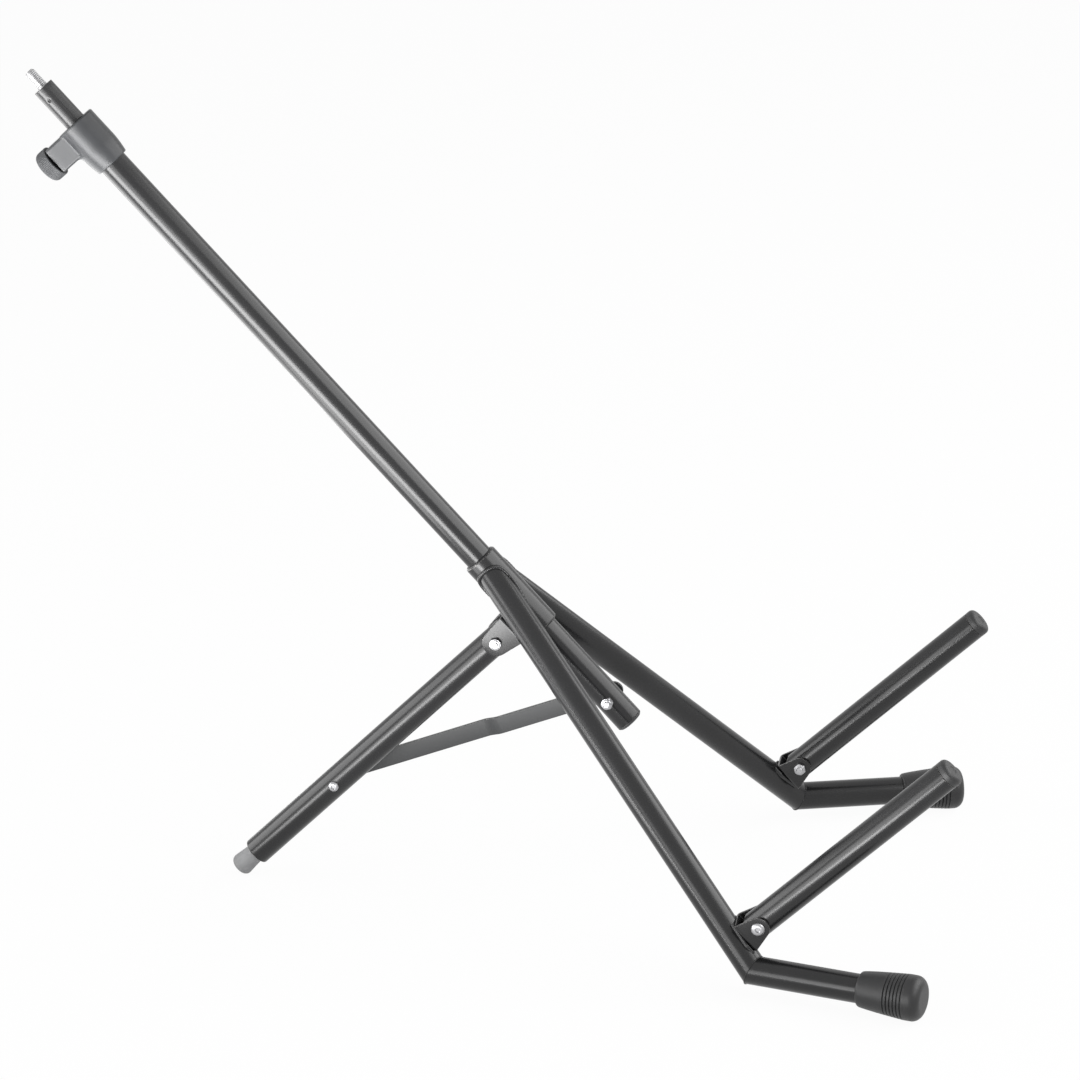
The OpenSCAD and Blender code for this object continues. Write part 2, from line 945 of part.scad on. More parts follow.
module arm_bolt(side) {
    outside = fork_in + sheet;
    color(bright_zinc)
        on_arm(side)
            translate([0, 0, arm_pivot_out])
                rotate([0, side * 90, 0]) {
                    translate([0, 0, -outside - nut_thick - head_thin])
                        cylinder(r = bolt_r, h = 2 * outside + nut_thick + head_thin);
                    translate([0, 0, outside])
                        cylinder(r = head_r, h = bolt_r);
                }
}

module arm_nut(side) {
    color(bright_zinc)
        on_arm(side)
            translate([0, 0, arm_pivot_out])
                rotate([0, side * 90, 0])
                    translate([0, 0, -fork_in - sheet - nut_thick])
                        hex_nut(bolt_r, nut_thick);
}

module arm_washers(side) {
    color(pale_nylon)
        on_arm(side)
            translate([0, 0, arm_pivot_out])
                saddle_washers();
}

thread_stud();
inner_mast();
inner_guide();
clutch_collar();
clutch_liner();
clamp_nut();
clamp_pad();
clamp_screw();
clamp_washer();
clamp_knob();
mast_tube();
mast_plug();
hub_sleeve();
leg_bracket();
leg_pivot_bolt();
leg_pivot_nut();
leg_pivot_washers();
rear_leg();
leg_top_plug();
rear_foot();
leg_brace();
brace_bolt();
brace_spacer();
brace_nut();
hook_stud();
hook_nut();
front_leg(-1);  // front_leg_left
front_leg(1);  // front_leg_right
foot_tube(-1);  // foot_tube_left
foot_tube(1);  // foot_tube_right
front_cap(-1);  // front_cap_left
front_cap(1);  // front_cap_right
arm_bracket(-1);  // arm_bracket_left
arm_bracket(1);  // arm_bracket_right
support_arm(-1);  // support_arm_left
support_arm(1);  // support_arm_right
arm_plug(-1);  // arm_plug_left
arm_plug(1);  // arm_plug_right
arm_cap(-1);  // arm_cap_left
arm_cap(1);  // arm_cap_right
arm_bolt(-1);  // arm_bolt_left
arm_bolt(1);  // arm_bolt_right
arm_nut(-1);  // arm_nut_left
arm_nut(1);  // arm_nut_right
arm_washers(-1);  // arm_washers_left
arm_washers(1);  // arm_washers_right
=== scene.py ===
"""Looks of the folding amp stand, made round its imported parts.

Shapes are worked out in millimetres, each in the place of its own tube, bolt or bar, and written
to their meshes in metres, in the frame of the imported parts.
"""

import bmesh
import bpy
import numpy as np
from mathutils import Matrix


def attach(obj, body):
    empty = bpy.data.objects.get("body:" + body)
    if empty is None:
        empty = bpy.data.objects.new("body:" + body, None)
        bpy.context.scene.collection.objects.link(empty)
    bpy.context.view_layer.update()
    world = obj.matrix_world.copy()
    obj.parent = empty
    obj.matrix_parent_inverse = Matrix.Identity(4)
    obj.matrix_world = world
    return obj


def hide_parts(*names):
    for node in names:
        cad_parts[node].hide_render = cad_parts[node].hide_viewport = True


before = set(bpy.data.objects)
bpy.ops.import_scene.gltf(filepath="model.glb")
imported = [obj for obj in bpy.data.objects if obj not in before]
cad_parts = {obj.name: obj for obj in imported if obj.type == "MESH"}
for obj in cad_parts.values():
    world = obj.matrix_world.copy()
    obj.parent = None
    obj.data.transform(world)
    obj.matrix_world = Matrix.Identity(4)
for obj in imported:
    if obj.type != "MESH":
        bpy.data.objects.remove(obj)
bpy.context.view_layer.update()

MM = 0.001
TURN = 2 * np.pi

# Sizes in millimetres and angles in degrees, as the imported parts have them
MAST_ANGLE = 47.6
LEG_ANGLE = 44.1
FOOT_SPLAY = 16.2
MIDDLE_Y = 261.562
TUBE_R = 12.7
TUBE_BORE = 11.2
INNER_R = 9.525
INNER_BORE = 8.325
MAST_LOW = 225.0
MAST_TOP = 910.0
INNER_LOW = 423.7
INNER_TOP = 983.7
STUD_R = 4.76
STUD_TIP = 1002.0
COLLAR_LOW = 895.0
COLLAR_TOP = 942.5
COLLAR_SWELL = 19.0
COLLAR_R = 17.5
COLLAR_LOW_R = 15.5
COLLAR_ROUND = 1.6
FOOT_ROUND = 0.9
BOSS_UP = 929.2
BOSS_REACH = 35.5
BOSS_HALF_WIDTH = 12.5
BOSS_HALF_HEIGHT = 11.0
BOSS_CORNER = 2.2
BOSS_EDGE = 0.7
KNOB_IN = BOSS_REACH + 1.5
KNOB_R = 14.7
KNOB_THICK = 13.0
KNOB_RIBS = 60
RIB_DEPTH = 0.4
APEX_UP = 415.0
SLEEVE_R = 15.9
SLEEVE_LOW = 339.172
SLEEVE_TOP = 421.4
LEG_BACK = 38.0
LEG_UP = 357.5
REAR_FOOT_R = 10.2
REAR_FOOT_EDGE = 4.8
REAR_FOOT_SHOW = 23.0
BRACKET_IN = 13.1
SHEET = 2.2
BRACE_DOWN = 207.0
BAR_OUT = 25.0
BAR_THICK = 3.0
BAR_STEP = 4.8
STEP_START = 142.0
STEP_RUN = 15.0
HOOK_UP = 251.0
BEND_OUT = 203.0
CAP_R = 19.8
FOOT_LENGTH = 155.0
CAP_START = 97.5
ARM_UP = 53.0
ARM_PIVOT = 28.8
ARM_TIP = 248.7
ARM_SWING_R = 13.6
ARM_CAP_ROUND = 3.99
BOLT_R = 3.0


# Places: 4 by 4 matrices from a piece's own axes to the stand's, in millimetres

def shifted(x, y, z):
    return np.array(Matrix.Translation((x, y, z)))


def turned(axis, degrees):
    return np.array(Matrix.Rotation(np.radians(degrees), 4, axis))


def flipped():
    """Mirror in X, for the pieces of the left side."""
    return np.diag([-1.0, 1.0, 1.0, 1.0])


def along(point, direction):
    """Z along a direction from a point, with X kept level."""
    z = np.array(direction, float) / np.linalg.norm(direction)
    x = np.cross([0.0, 0.0, 1.0], z) if abs(z[2]) < 0.999 else np.array([1.0, 0.0, 0.0])
    x = x / np.linalg.norm(x)
    place = np.eye(4)
    place[:3, 0], place[:3, 1], place[:3, 2], place[:3, 3] = x, np.cross(z, x), z, point
    return place


leg_fold = 180 - MAST_ANGLE - LEG_ANGLE
pivot_up = LEG_UP - LEG_BACK / np.tan(np.radians(leg_fold))
pivot_height = pivot_up * np.sin(np.radians(MAST_ANGLE)) - LEG_BACK * np.cos(np.radians(MAST_ANGLE))
foot_centre = ((pivot_height - REAR_FOOT_EDGE
                - (REAR_FOOT_R - REAR_FOOT_EDGE) * np.cos(np.radians(LEG_ANGLE)))
               / np.sin(np.radians(LEG_ANGLE)))
leg_length = foot_centre + REAR_FOOT_EDGE - REAR_FOOT_SHOW
bolt_up = pivot_up - BRACE_DOWN * np.cos(np.radians(leg_fold))
bolt_back = LEG_BACK + BRACE_DOWN * np.sin(np.radians(leg_fold))
brace_span = np.hypot(bolt_back, bolt_up - HOOK_UP)
brace_slope = np.degrees(np.arctan2(bolt_up - HOOK_UP, bolt_back))
up_post = np.array([0, np.cos(np.radians(MAST_ANGLE)), np.sin(np.radians(MAST_ANGLE))])
bend_up = CAP_R / up_post[2]
arm_out = (APEX_UP - ARM_UP) * BEND_OUT / (APEX_UP - bend_up)

STAND = shifted(0, -MIDDLE_Y, 0)
POST = STAND @ turned("X", MAST_ANGLE - 90)
LEG = POST @ shifted(0, LEG_BACK, pivot_up) @ turned("X", leg_fold - 180)
BRACE = (POST @ shifted(BAR_OUT, bolt_back, bolt_up) @ turned("X", brace_slope)
         @ turned("Z", -90) @ turned("X", 90))
BOSS = POST @ shifted(0, 0, BOSS_UP) @ turned("X", -90)
ACROSS = turned("Y", 90)
ARM = POST @ shifted(arm_out, 0, ARM_UP) @ turned("X", 90)


def sided(place, side):
    """The place on the right side, or its mirror image on the left."""
    return place if side > 0 else flipped() @ place


# Camera: the place, turn and lens that were fitted to the photograph's tubes and floor contacts

CAMERA_AT = (-4.13165, -0.636174, 1.75081)
CAMERA_RIGHT = (0.1431874, -0.9896822, -0.0051575)
CAMERA_UP = (0.3192754, 0.0412590, 0.9467634)
CAMERA_BACK = (-0.9367820, -0.1371112, 0.3218890)
FOCAL_PIXELS = 5015.8
IMAGE_PIXELS = 1080
SENSOR = 36.0

lens = bpy.data.cameras.new("photo_camera")
camera = bpy.data.objects.new("photo_camera", lens)
bpy.context.scene.collection.objects.link(camera)
camera.matrix_world = (Matrix.Translation(CAMERA_AT)
                       @ Matrix((CAMERA_RIGHT, CAMERA_UP, CAMERA_BACK)).transposed().to_4x4())
lens.sensor_width = SENSOR
lens.lens = SENSOR * FOCAL_PIXELS / IMAGE_PIXELS
lens.clip_start, lens.clip_end = 0.1, 100
bpy.context.scene.camera = camera


# Shader maths

class Wire:
    """An output of a node. Operators on wires and numbers add Math nodes."""

    def __init__(self, graph, socket):
        self.graph, self.socket = graph, socket

    def math(self, operation, *others):
        values = dict(enumerate((self,) + others))
        return self.graph.node("ShaderNodeMath", {"operation": operation}, values)

    def __add__(self, other):
        return self.math("ADD", other)

    def __sub__(self, other):
        return self.math("SUBTRACT", other)

    def __mul__(self, other):
        return self.math("MULTIPLY", other)

    def __rsub__(self, other):
        return self.graph.node("ShaderNodeMath", {"operation": "SUBTRACT"}, {0: other, 1: self})

    __radd__, __rmul__ = __add__, __mul__

    def step(self, low, high):
        """Smooth step from 0 at low to 1 at high."""
        settings = {"interpolation_type": "SMOOTHSTEP"}
        return self.graph.node("ShaderNodeMapRange", settings,
                               {"Value": self, "From Min": low, "From Max": high})


class Graph:
    """The nodes of one material, or of the world."""

    def __init__(self, owner, output="ShaderNodeOutputMaterial"):
        owner.use_nodes = True
        self.owner, self.tree = owner, owner.node_tree
        self.tree.nodes.clear()
        self.output = self.tree.nodes.new(output)

    def put(self, node, key, value):
        if isinstance(value, Wire):
            self.tree.links.new(value.socket, node.inputs[key])
        elif isinstance(value, (tuple, list)) and len(value) == 3 and node.inputs[key].type == "RGBA":
            node.inputs[key].default_value = (*value, 1.0)
        else:
            node.inputs[key].default_value = value

    def node(self, kind, settings, values, output=0):
        made = self.tree.nodes.new(kind)
        for key, value in settings.items():
            setattr(made, key, value)
        for key, value in values.items():
            self.put(made, key, value)
        return Wire(self, made.outputs[output])

    def place(self, turn=(0, 0, 0), scale=(1, 1, 1), shift=(0, 0, 0)):
        """Object coordinates seen from a place that is shifted, turned (degrees) and scaled."""
        where = self.node("ShaderNodeTexCoord", {}, {}, "Object")
        angles = tuple(np.radians(turn))
        return self.node("ShaderNodeMapping", {"vector_type": "TEXTURE"},
                         {"Vector": where, "Location": shift, "Rotation": angles, "Scale": scale})

    def noise(self, where, scale, detail=2.0, rough=0.5):
        return self.node("ShaderNodeTexNoise", {}, {"Vector": where, "Scale": scale,
                                                    "Detail": detail, "Roughness": rough})

    def mix(self, share, first, second):
        """Colour between two colours."""
        return self.node("ShaderNodeMix", {"data_type": "RGBA"},
                         {0: share, 6: first, 7: second}, 2)

    def wear(self):
        """How exposed each point of a skin is: 1 on its eased edges, 0 on its flats."""
        return self.node("ShaderNodeAttribute", {"attribute_name": "wear"}, {}, "Fac")

    def bump(self, height, distance):
        return self.node("ShaderNodeBump", {}, {"Height": height, "Distance": distance})

    def surface(self, **values):
        """The main shader. Each value goes to the socket with its name."""
        return self.node("ShaderNodeBsdfPrincipled", {},
                         {key.replace("_", " "): value for key, value in values.items()})

    def finish(self, shader):
        """Sends a shader to the output and gives back the material or the world."""
        self.put(self.output, 0, shader)
        return self.owner


# Finishes

POST_TURN = (MAST_ANGLE - 90, 0, 0)
POST_SHIFT = (0, -MIDDLE_Y * MM, 0)


def black_coat(name, base, rough, streaks=None):
    """Black powder coat on steel: fine orange peel, faint mottling and a little wear on edges.
    streaks gives the place of a tube that slides, which gets fine rubbed lines along it."""
    g = Graph(bpy.data.materials.new(name))
    where = g.place()
    peel = g.noise(where, 900, 2.0)
    cloud = g.noise(where, 14, 3.0)
    dust = g.noise(where, 2600, 1.0).step(0.66, 0.74)
    chips = (g.wear() * 0.55 + g.noise(where, 700, 4.0, 0.7)).step(0.98, 1.06)
    colour = g.mix(cloud, tuple(c * 0.8 for c in base), tuple(c * 1.25 for c in base))
    colour = g.mix(dust * 0.12, colour, (0.22, 0.22, 0.21))
    colour = g.mix(chips, colour, (0.30, 0.29, 0.28))
    roughness = cloud * 0.10 + (rough - 0.05) + dust * 0.1
    height = peel * 0.7 + g.noise(where, 3200, 1.0) * 0.15
    if streaks is not None:
        turn, shift = streaks
        lines = g.noise(g.place(turn, (1, 1, 60), shift), 2400, 2.0, 0.6).step(0.55, 0.75)
        colour = g.mix(lines * 0.3, colour, (0.09, 0.09, 0.092))
        roughness = roughness + lines * 0.14
    return g.finish(g.surface(Base_Color=colour, Roughness=roughness, Metallic=chips * 0.8,
                              Normal=g.bump(height, 0.000005), Specular_IOR_Level=0.42))


def moulded_plastic(name, base, rough, grain, shine=0.5):
    """Moulded plastic: spark-eroded grain, slow clouds in the grey and paler rubbed edges."""
    g = Graph(bpy.data.materials.new(name))
    where = g.place()
    cloud = g.noise(where, 60, 3.0)
    fine = g.noise(where, 2400, 3.0, 0.6)
    rubbed = (g.wear() * 0.6 + g.noise(where, 400, 3.0) * 0.7).step(0.7, 1.0)
    colour = g.mix(cloud, tuple(c * 0.9 for c in base), tuple(c * 1.12 for c in base))
    colour = g.mix(rubbed * 0.35, colour, tuple(min(c * 1.7, 1) for c in base))
    roughness = cloud * 0.08 + (rough - 0.04) + fine * 0.06
    return g.finish(g.surface(Base_Color=colour, Roughness=roughness, Normal=g.bump(fine, grain),
                              Specular_IOR_Level=shine))


def black_rubber(name, base, rough):
    """Moulded rubber: matt, faintly mottled, with pale dust held on the raised edges."""
    g = Graph(bpy.data.materials.new(name))
    where = g.place()
    cloud = g.noise(where, 90, 4.0, 0.6)
    fine = g.noise(where, 3000, 2.0)
    dust = (g.noise(where, 500, 4.0, 0.7) + g.wear() * 0.16).step(0.56, 0.85)
    colour = g.mix(cloud, tuple(c * 0.75 for c in base), tuple(c * 1.3 for c in base))
    colour = g.mix(dust * 0.25, colour, tuple(c + 0.09 for c in base))
    roughness = dust * 0.1 + (rough - 0.03) + cloud * 0.06
    return g.finish(g.surface(Base_Color=colour, Roughness=roughness,
                              Normal=g.bump(fine * 0.5 + cloud, 0.00012)))


def plated(name, base, rough, turn=(0, 0, 0), shift=(0, 0, 0)):
    """Bright plated steel: clouded passivation and fine turning marks round the bolt's own axis."""
    g = Graph(bpy.data.materials.new(name))
    where = g.place(turn, (1, 1, 1), shift)
    cloud = g.noise(where, 260, 3.0)
    marks = g.noise(g.place(turn, (40, 40, 1), shift), 60, 2.0)
    stain = (g.noise(where, 500, 4.0, 0.7) - g.wear() * 0.1).step(0.56, 0.72)
    colour = g.mix(cloud, tuple(c * 0.86 for c in base), base)
    colour = g.mix(stain * 0.4, colour, (0.42, 0.39, 0.34))
    roughness = cloud * 0.12 + (rough - 0.06) + stain * 0.2
    return g.finish(g.surface(Base_Color=colour, Metallic=1.0, Roughness=roughness,
                              Normal=g.bump(marks, 0.00002)))


coat = black_coat("gloss_black_coat", (0.008, 0.008, 0.0085), 0.24)
slide_coat = black_coat("rubbed_black_coat", (0.010, 0.010, 0.0105), 0.25, (POST_TURN, POST_SHIFT))
satin_coat = black_coat("satin_black_coat", (0.024, 0.025, 0.026), 0.42)
grey_plastic = moulded_plastic("grey_plastic", (0.03, 0.031, 0.033), 0.31, 0.000004, 0.31)
knob_plastic = moulded_plastic("knob_plastic", (0.033, 0.034, 0.036), 0.44, 0.000002, 0.27)
black_plastic = moulded_plastic("black_plastic", (0.02, 0.02, 0.021), 0.45, 0.00005)
nylon = moulded_plastic("natural_nylon", (0.50, 0.49, 0.45), 0.5, 0.00005)
cap_rubber = black_rubber("cap_rubber", (0.011, 0.011, 0.0115), 0.44)
foot_rubber = black_rubber("foot_rubber", (0.225, 0.227, 0.231), 0.6)
zinc = plated("bright_zinc", (0.42, 0.42, 0.43), 0.34)
stud_zinc = plated("stud_zinc", (0.4, 0.4, 0.405), 0.4, POST_TURN, POST_SHIFT)
brass = plated("turned_brass", (0.72, 0.56, 0.28), 0.3)


# Skins: grids of points, with the faces between neighbours

class Skin:
    """Points on a grid of rows and columns. The columns run round a closed loop. The rows run to a
    last one, or round to the first again. wear is 1 where the surface is exposed."""

    def __init__(self, points, ring=False, wear=0.0):
        self.points = np.asarray(points, float)
        self.ring = ring
        self.wear = np.broadcast_to(wear, self.points.shape[:2])

    def at(self, place):
        return Skin(self.points @ place[:3, :3].T + place[:3, 3], self.ring, self.wear)

    def faces(self):
        """Each face joins a point to its neighbours in the next row and column."""
        rows, columns = self.points.shape[:2]
        i, j = np.meshgrid(np.arange(rows if self.ring else rows - 1), np.arange(columns),
                           indexing="ij")
        k, m = (i + 1) % rows, (j + 1) % columns
        return np.stack([i * columns + j, i * columns + m, k * columns + m, k * columns + j],
                        -1).reshape(-1, 4)


MERGE = 2e-6
SHARP_DEGREES = 38


def make(name, skins, finish, body, replaced=()):
    """One object from its skins, with doubled points merged and its faces turned outwards."""
    counts = np.cumsum([0] + [s.points.shape[0] * s.points.shape[1] for s in skins])
    points = np.concatenate([s.points.reshape(-1, 3) for s in skins]) * MM
    faces = np.concatenate([s.faces() + n for s, n in zip(skins, counts)])
    wear = np.concatenate([s.wear.reshape(-1) for s in skins])
    mesh = bpy.data.meshes.new(name)
    mesh.vertices.add(len(points))
    mesh.vertices.foreach_set("co", points.ravel())
    mesh.loops.add(faces.size)
    mesh.loops.foreach_set("vertex_index", faces.ravel())
    mesh.polygons.add(len(faces))
    mesh.polygons.foreach_set("loop_start", np.arange(0, faces.size, 4))
    mesh.update(calc_edges=True)
    mesh.attributes.new("wear", "FLOAT", "POINT").data.foreach_set("value", wear)
    shell = bmesh.new()
    shell.from_mesh(mesh)
    bmesh.ops.remove_doubles(shell, verts=shell.verts, dist=MERGE)
    bmesh.ops.dissolve_degenerate(shell, edges=shell.edges, dist=MERGE / 2)
    bmesh.ops.recalc_face_normals(shell, faces=shell.faces)
    shell.to_mesh(mesh)
    shell.free()
    mesh.shade_smooth()
    mesh.set_sharp_from_angle(angle=np.radians(SHARP_DEGREES))
    made = bpy.data.objects.new(name, mesh)
    bpy.context.scene.collection.objects.link(made)
    made.data.materials.append(finish)
    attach(made, body)
    if replaced:
        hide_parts(*replaced)
    return made


# Shapes

COLUMNS = 96
EASE_STEPS = 6


def eased(corners, cuts):
    """Closed outlines with their corners eased. Corner P becomes the curve
    (1 - t)^2 A + 2 t (1 - t) P + t^2 B, where A and B lie one cut before and after it on the sides.
    A last value goes with each point: how exposed it is, 4 t (1 - t)."""
    p = np.asarray(corners, float)
    cuts = np.broadcast_to(cuts, p.shape[:-1])[..., None]

    def toward(q):
        length = np.linalg.norm(q - p, axis=-1, keepdims=True)
        return p + (q - p) * np.minimum(cuts / np.maximum(length, 1e-9), 0.5)

    a = toward(np.roll(p, 1, -2))[..., None, :]
    b = toward(np.roll(p, -1, -2))[..., None, :]
    t = np.linspace(0, 1, EASE_STEPS)[:, None]
    curve = (1 - t) ** 2 * a + 2 * t * (1 - t) * p[..., None, :] + t ** 2 * b
    worn = np.broadcast_to(4 * t * (1 - t), curve.shape[:-1] + (1,)) * (cuts[..., None, :] > 0)
    both = np.concatenate([curve, worn], -1)
    return both.reshape(both.shape[:-3] + (-1, both.shape[-1]))


def angles(columns):
    """Equal steps of one turn, as one row."""
    return np.linspace(0, TURN, columns, endpoint=False)[None]


def round_axis(r, t, z):
    """Points (r cos t, r sin t, z)."""
    return np.stack([r * np.cos(t), r * np.sin(t), z + 0 * t], -1)


def lathe(profile, ring=True, columns=COLUMNS):
    """Turns a profile round Z: radius r and height z at angle t give (r cos t, r sin t, z). The
    profile's third value is its wear. As a ring it closes on itself, else it ends on the axis."""
    r, z, wear = np.asarray(profile, float).T[:, :, None]
    t = angles(columns)
    return Skin(round_axis(r, t, z), ring, wear + 0 * t)


def turned_solid(corners, cuts, columns=COLUMNS):
    """Solid of revolution. Its corners run from the axis round to the axis again, with the first
    and last at radius 0, and its other corners are eased."""
    cuts = np.array(np.broadcast_to(cuts, len(corners)), float)
    cuts[[0, -1]] = 0
    return lathe(eased(corners, cuts), False, columns)


def pipe(outer, bore, low, high, rim=0.45, columns=COLUMNS):
    """Tube wall with eased rims: its section is the closed loop of four corners, turned round Z."""
    return lathe(eased([(bore, low), (outer, low), (outer, high), (bore, high)], rim), True, columns)


def cut_end(skin, low_side, height_of):
    """Shifts the points of one end of a pipe along Z by height_of(x, y)."""
    points = skin.points.copy()
    z = points[..., 2]
    middle = (z.min() + z.max()) / 2
    at_end = z < middle if low_side else z > middle
    z += np.where(at_end, height_of(points[..., 0], points[..., 1]), 0)
    return Skin(points, skin.ring, skin.wear)


def strip(path, low, high, thick, ease=0.5):
    """Bar or folded sheet. Along a path in the XY plane, each section is a rectangle with eased
    corners: half its thickness either side of the path, and from low to high in Z."""
    path = np.asarray(path, float)
    way = np.gradient(path, axis=0)
    way /= np.maximum(np.linalg.norm(way, axis=1, keepdims=True), 1e-9)
    normal = np.stack([way[:, 1], -way[:, 0]], -1)
    low, high = np.broadcast_to(low, len(path)), np.broadcast_to(high, len(path))
    half = np.full(len(path), thick / 2)
    section = eased(np.stack([np.stack([-half, low], -1), np.stack([half, low], -1),
                              np.stack([half, high], -1), np.stack([-half, high], -1)], 1), ease)
    aside, up, wear = section[..., 0], section[..., 1], section[..., 2]
    flat = path[:, None] + normal[:, None] * aside[..., None]
    return Skin(np.concatenate([flat, up[..., None]], -1), False, wear)


def nose(stations, end, radius, sign):
    """Half width of a bar near a round end: the circle sqrt(r^2 - d^2) about the nose's centre."""
    d = np.clip((stations - (end - sign * radius)) * sign, 0, radius)
    return np.sqrt(np.maximum(radius ** 2 - d ** 2, 0))


def hexagon(t, across):
    """Radius of a hexagon at angle t, a corner at 0: its inner radius over cos of the angle from
    the middle of the side."""
    return across / np.cos(np.mod(t, TURN / 6) - TURN / 12)


def mixed_lathe(rows, across, columns=COLUMNS, ring=True):
    """Lathe whose rows (r, z, hexed, wear) take the smaller of r and a hexagon where hexed is 1."""
    r, z, hexed, wear = np.asarray(rows, float).T[:, :, None]
    t = angles(columns)
    r = np.where(hexed > 0, np.minimum(r, hexagon(t, across)), r + 0 * t)
    return Skin(round_axis(r, t, z), ring, wear + 0 * t)


def lock_nut(thick, bore=BOLT_R):
    """Lock nut: each row of the side is the smaller of the hexagon and the chamfer's cone, under
    a round crimped collar."""
    high = thick - 1.1
    rows = [(bore, 0, 0, 0), (4.5, 0, 1, 0), (5.0, 0.1, 1, 0.4), (5.45, 0.5, 1, 0.6),
            (5.8, 1.0, 1, 0.3), (5.8, high - 1.0, 1, 0.3), (5.45, high - 0.5, 1, 0.6),
            (5.0, high - 0.1, 1, 0.4), (4.4, high, 1, 0), (4.35, thick - 0.5, 0, 0.2),
            (4.1, thick - 0.12, 0, 0.6), (3.8, thick, 0, 0.4), (bore, thick, 0, 0)]
    return mixed_lathe(rows, 4.94, 72)


def socket_head(radius, height, socket, depth, start=0.0):
    """Button head: a dome that ends at a hexagon socket with straight walls and a flat floor. The
    dome is a quarter ellipse: its radius goes with the cosine and its height with the sine."""
    rise = np.linspace(0, 1, 10)
    edge = socket * 1.22
    r = edge + (radius - edge) * np.cos(rise * TURN / 4)
    z = start + height * (0.25 + 0.75 * np.sin(rise * TURN / 4))
    dome = [(a, b, 0, 0.3) for a, b in zip(r, z)]
    top = start + height
    rows = [(0, start, 0, 0), (radius - 0.2, start, 0, 0), (radius, start + 0.15, 0, 0.5)] + dome
    rows += [(edge * 0.99, top - 0.02, 0, 0), (9, top - 0.25, 1, 0), (9, top - depth, 1, 0),
             (0, top - depth, 0, 0)]
    return mixed_lathe(rows, socket, 72, False)


def threaded(radius, depth, pitch, low, high, chamfer, root_low, columns=48):
    """Screw thread on a rod. At height z and angle t the radius is less by the depth times
    |2 s - 1| rounded, where s = frac(z / pitch - t / TURN) is the place across the turn. It fades
    in over the first turn, and a cone takes the tip."""
    z = np.arange(low, high, pitch / 10)
    z = np.append(z, high)[:, None]
    t = angles(columns)
    s = np.mod(z / pitch - t / TURN, 1)
    groove = np.clip(1.25 - np.abs(2 * s - 1) * 1.9, 0, 1)
    fade = np.clip((z - low) / pitch, 0, 1)
    r = radius - depth * groove * fade
    r = np.minimum(r, radius - chamfer + (high - z))
    wear = (1 - groove) * 0.8 + 0 * z
    body = round_axis(r, t, z)
    bottom, root, tip = np.zeros((1, columns, 3)), body[:1].copy(), np.zeros((1, columns, 3))
    bottom[..., 2], root[..., 2], tip[..., 2] = root_low, root_low, high
    points = np.concatenate([bottom, root, body, tip])
    none = wear[:1] * 0
    return Skin(points, False, np.concatenate([none, none, wear, none]))


def bead(path, outward, radius, ripples):
    """Weld bead along a closed path: a circle carried along it, its radius swelling
    1 + 0.05 sin of the ripples, between the path's tangent and the outward direction."""
    path, outward = np.asarray(path, float), np.asarray(outward, float)
    way = np.roll(path, -1, 0) - np.roll(path, 1, 0)
    way /= np.linalg.norm(way, axis=1, keepdims=True)
    side = np.cross(way, outward)
    side /= np.linalg.norm(side, axis=1, keepdims=True)
    out = np.cross(side, way)
    a = np.linspace(0, TURN, 12, endpoint=False)[None, :, None]
    s = np.linspace(0, TURN, len(path), endpoint=False)[:, None, None]
    swell = radius * (1 + 0.05 * np.sin(ripples * s + 0.6 * np.sin(5 * s)))
    points = path[:, None] + swell * (np.cos(a) * out[:, None] + np.sin(a) * side[:, None])
    return Skin(points, True, 0.25 + 0 * (np.cos(a) * s)[..., 0])


# Upper tube

STUD_PITCH = 25.4 / 16
boom_thread = threaded(STUD_R, 0.75, STUD_PITCH, INNER_TOP, STUD_TIP, 1.85, INNER_TOP - 25)
make("boom_thread", [boom_thread.at(POST)], stud_zinc, "upper_tube", ["thread_stud"])


CRIMP_TURN = np.radians(172)
CRIMP_UP = INNER_TOP - 12
CRIMP_DEPTH = 1.0
CRIMP_SPREAD = 1.5


def dimpled_pipe():
    """Upper tube with two crimp dimples that hold the stud: near each dimple's middle the wall sinks
    by depth times exp(-(d / spread)^2), d being the distance over the surface."""
    z = np.unique(np.concatenate([np.linspace(INNER_LOW + 1, INNER_TOP - 30, 12),
                                  np.linspace(INNER_TOP - 24, INNER_TOP - 6, 49)]))
    wall = eased([(INNER_BORE, INNER_LOW), (INNER_R, INNER_LOW), (INNER_R, INNER_TOP),
                  (INNER_BORE, INNER_TOP)], 0.5)
    outside = np.stack([np.full(len(z), INNER_R), z, 0 * z], -1)
    cut = 2 * EASE_STEPS
    skin = lathe(np.concatenate([wall[:cut], outside, wall[cut:]]), True, 144)
    x, y, height = np.moveaxis(skin.points, -1, 0)
    angle = np.arctan2(y, x)
    r = np.hypot(x, y)
    for middle in (CRIMP_TURN, CRIMP_TURN + np.pi):
        away = np.mod(angle - middle + np.pi, TURN) - np.pi
        d = np.hypot(away * INNER_R, height - CRIMP_UP)
        sunk = 1 - CRIMP_DEPTH * np.exp(-(d / CRIMP_SPREAD) ** 2) * (r > INNER_BORE + 0.5) / r
        skin.points[..., 0] *= sunk
        skin.points[..., 1] *= sunk
    return skin


make("upper_tube", [dimpled_pipe().at(POST)], slide_coat, "upper_tube", ["inner_mast"])
make("guide_plug", [turned_solid([(0, INNER_LOW - 4), (11.1, INNER_LOW - 4), (11.1, INNER_LOW - 0.2),
                                  (8.2, INNER_LOW - 0.2), (8.2, INNER_LOW + 24), (0, INNER_LOW + 24)],
                                 0.5, 48).at(POST)],
     nylon, "upper_tube", ["inner_guide"])

# Height clutch


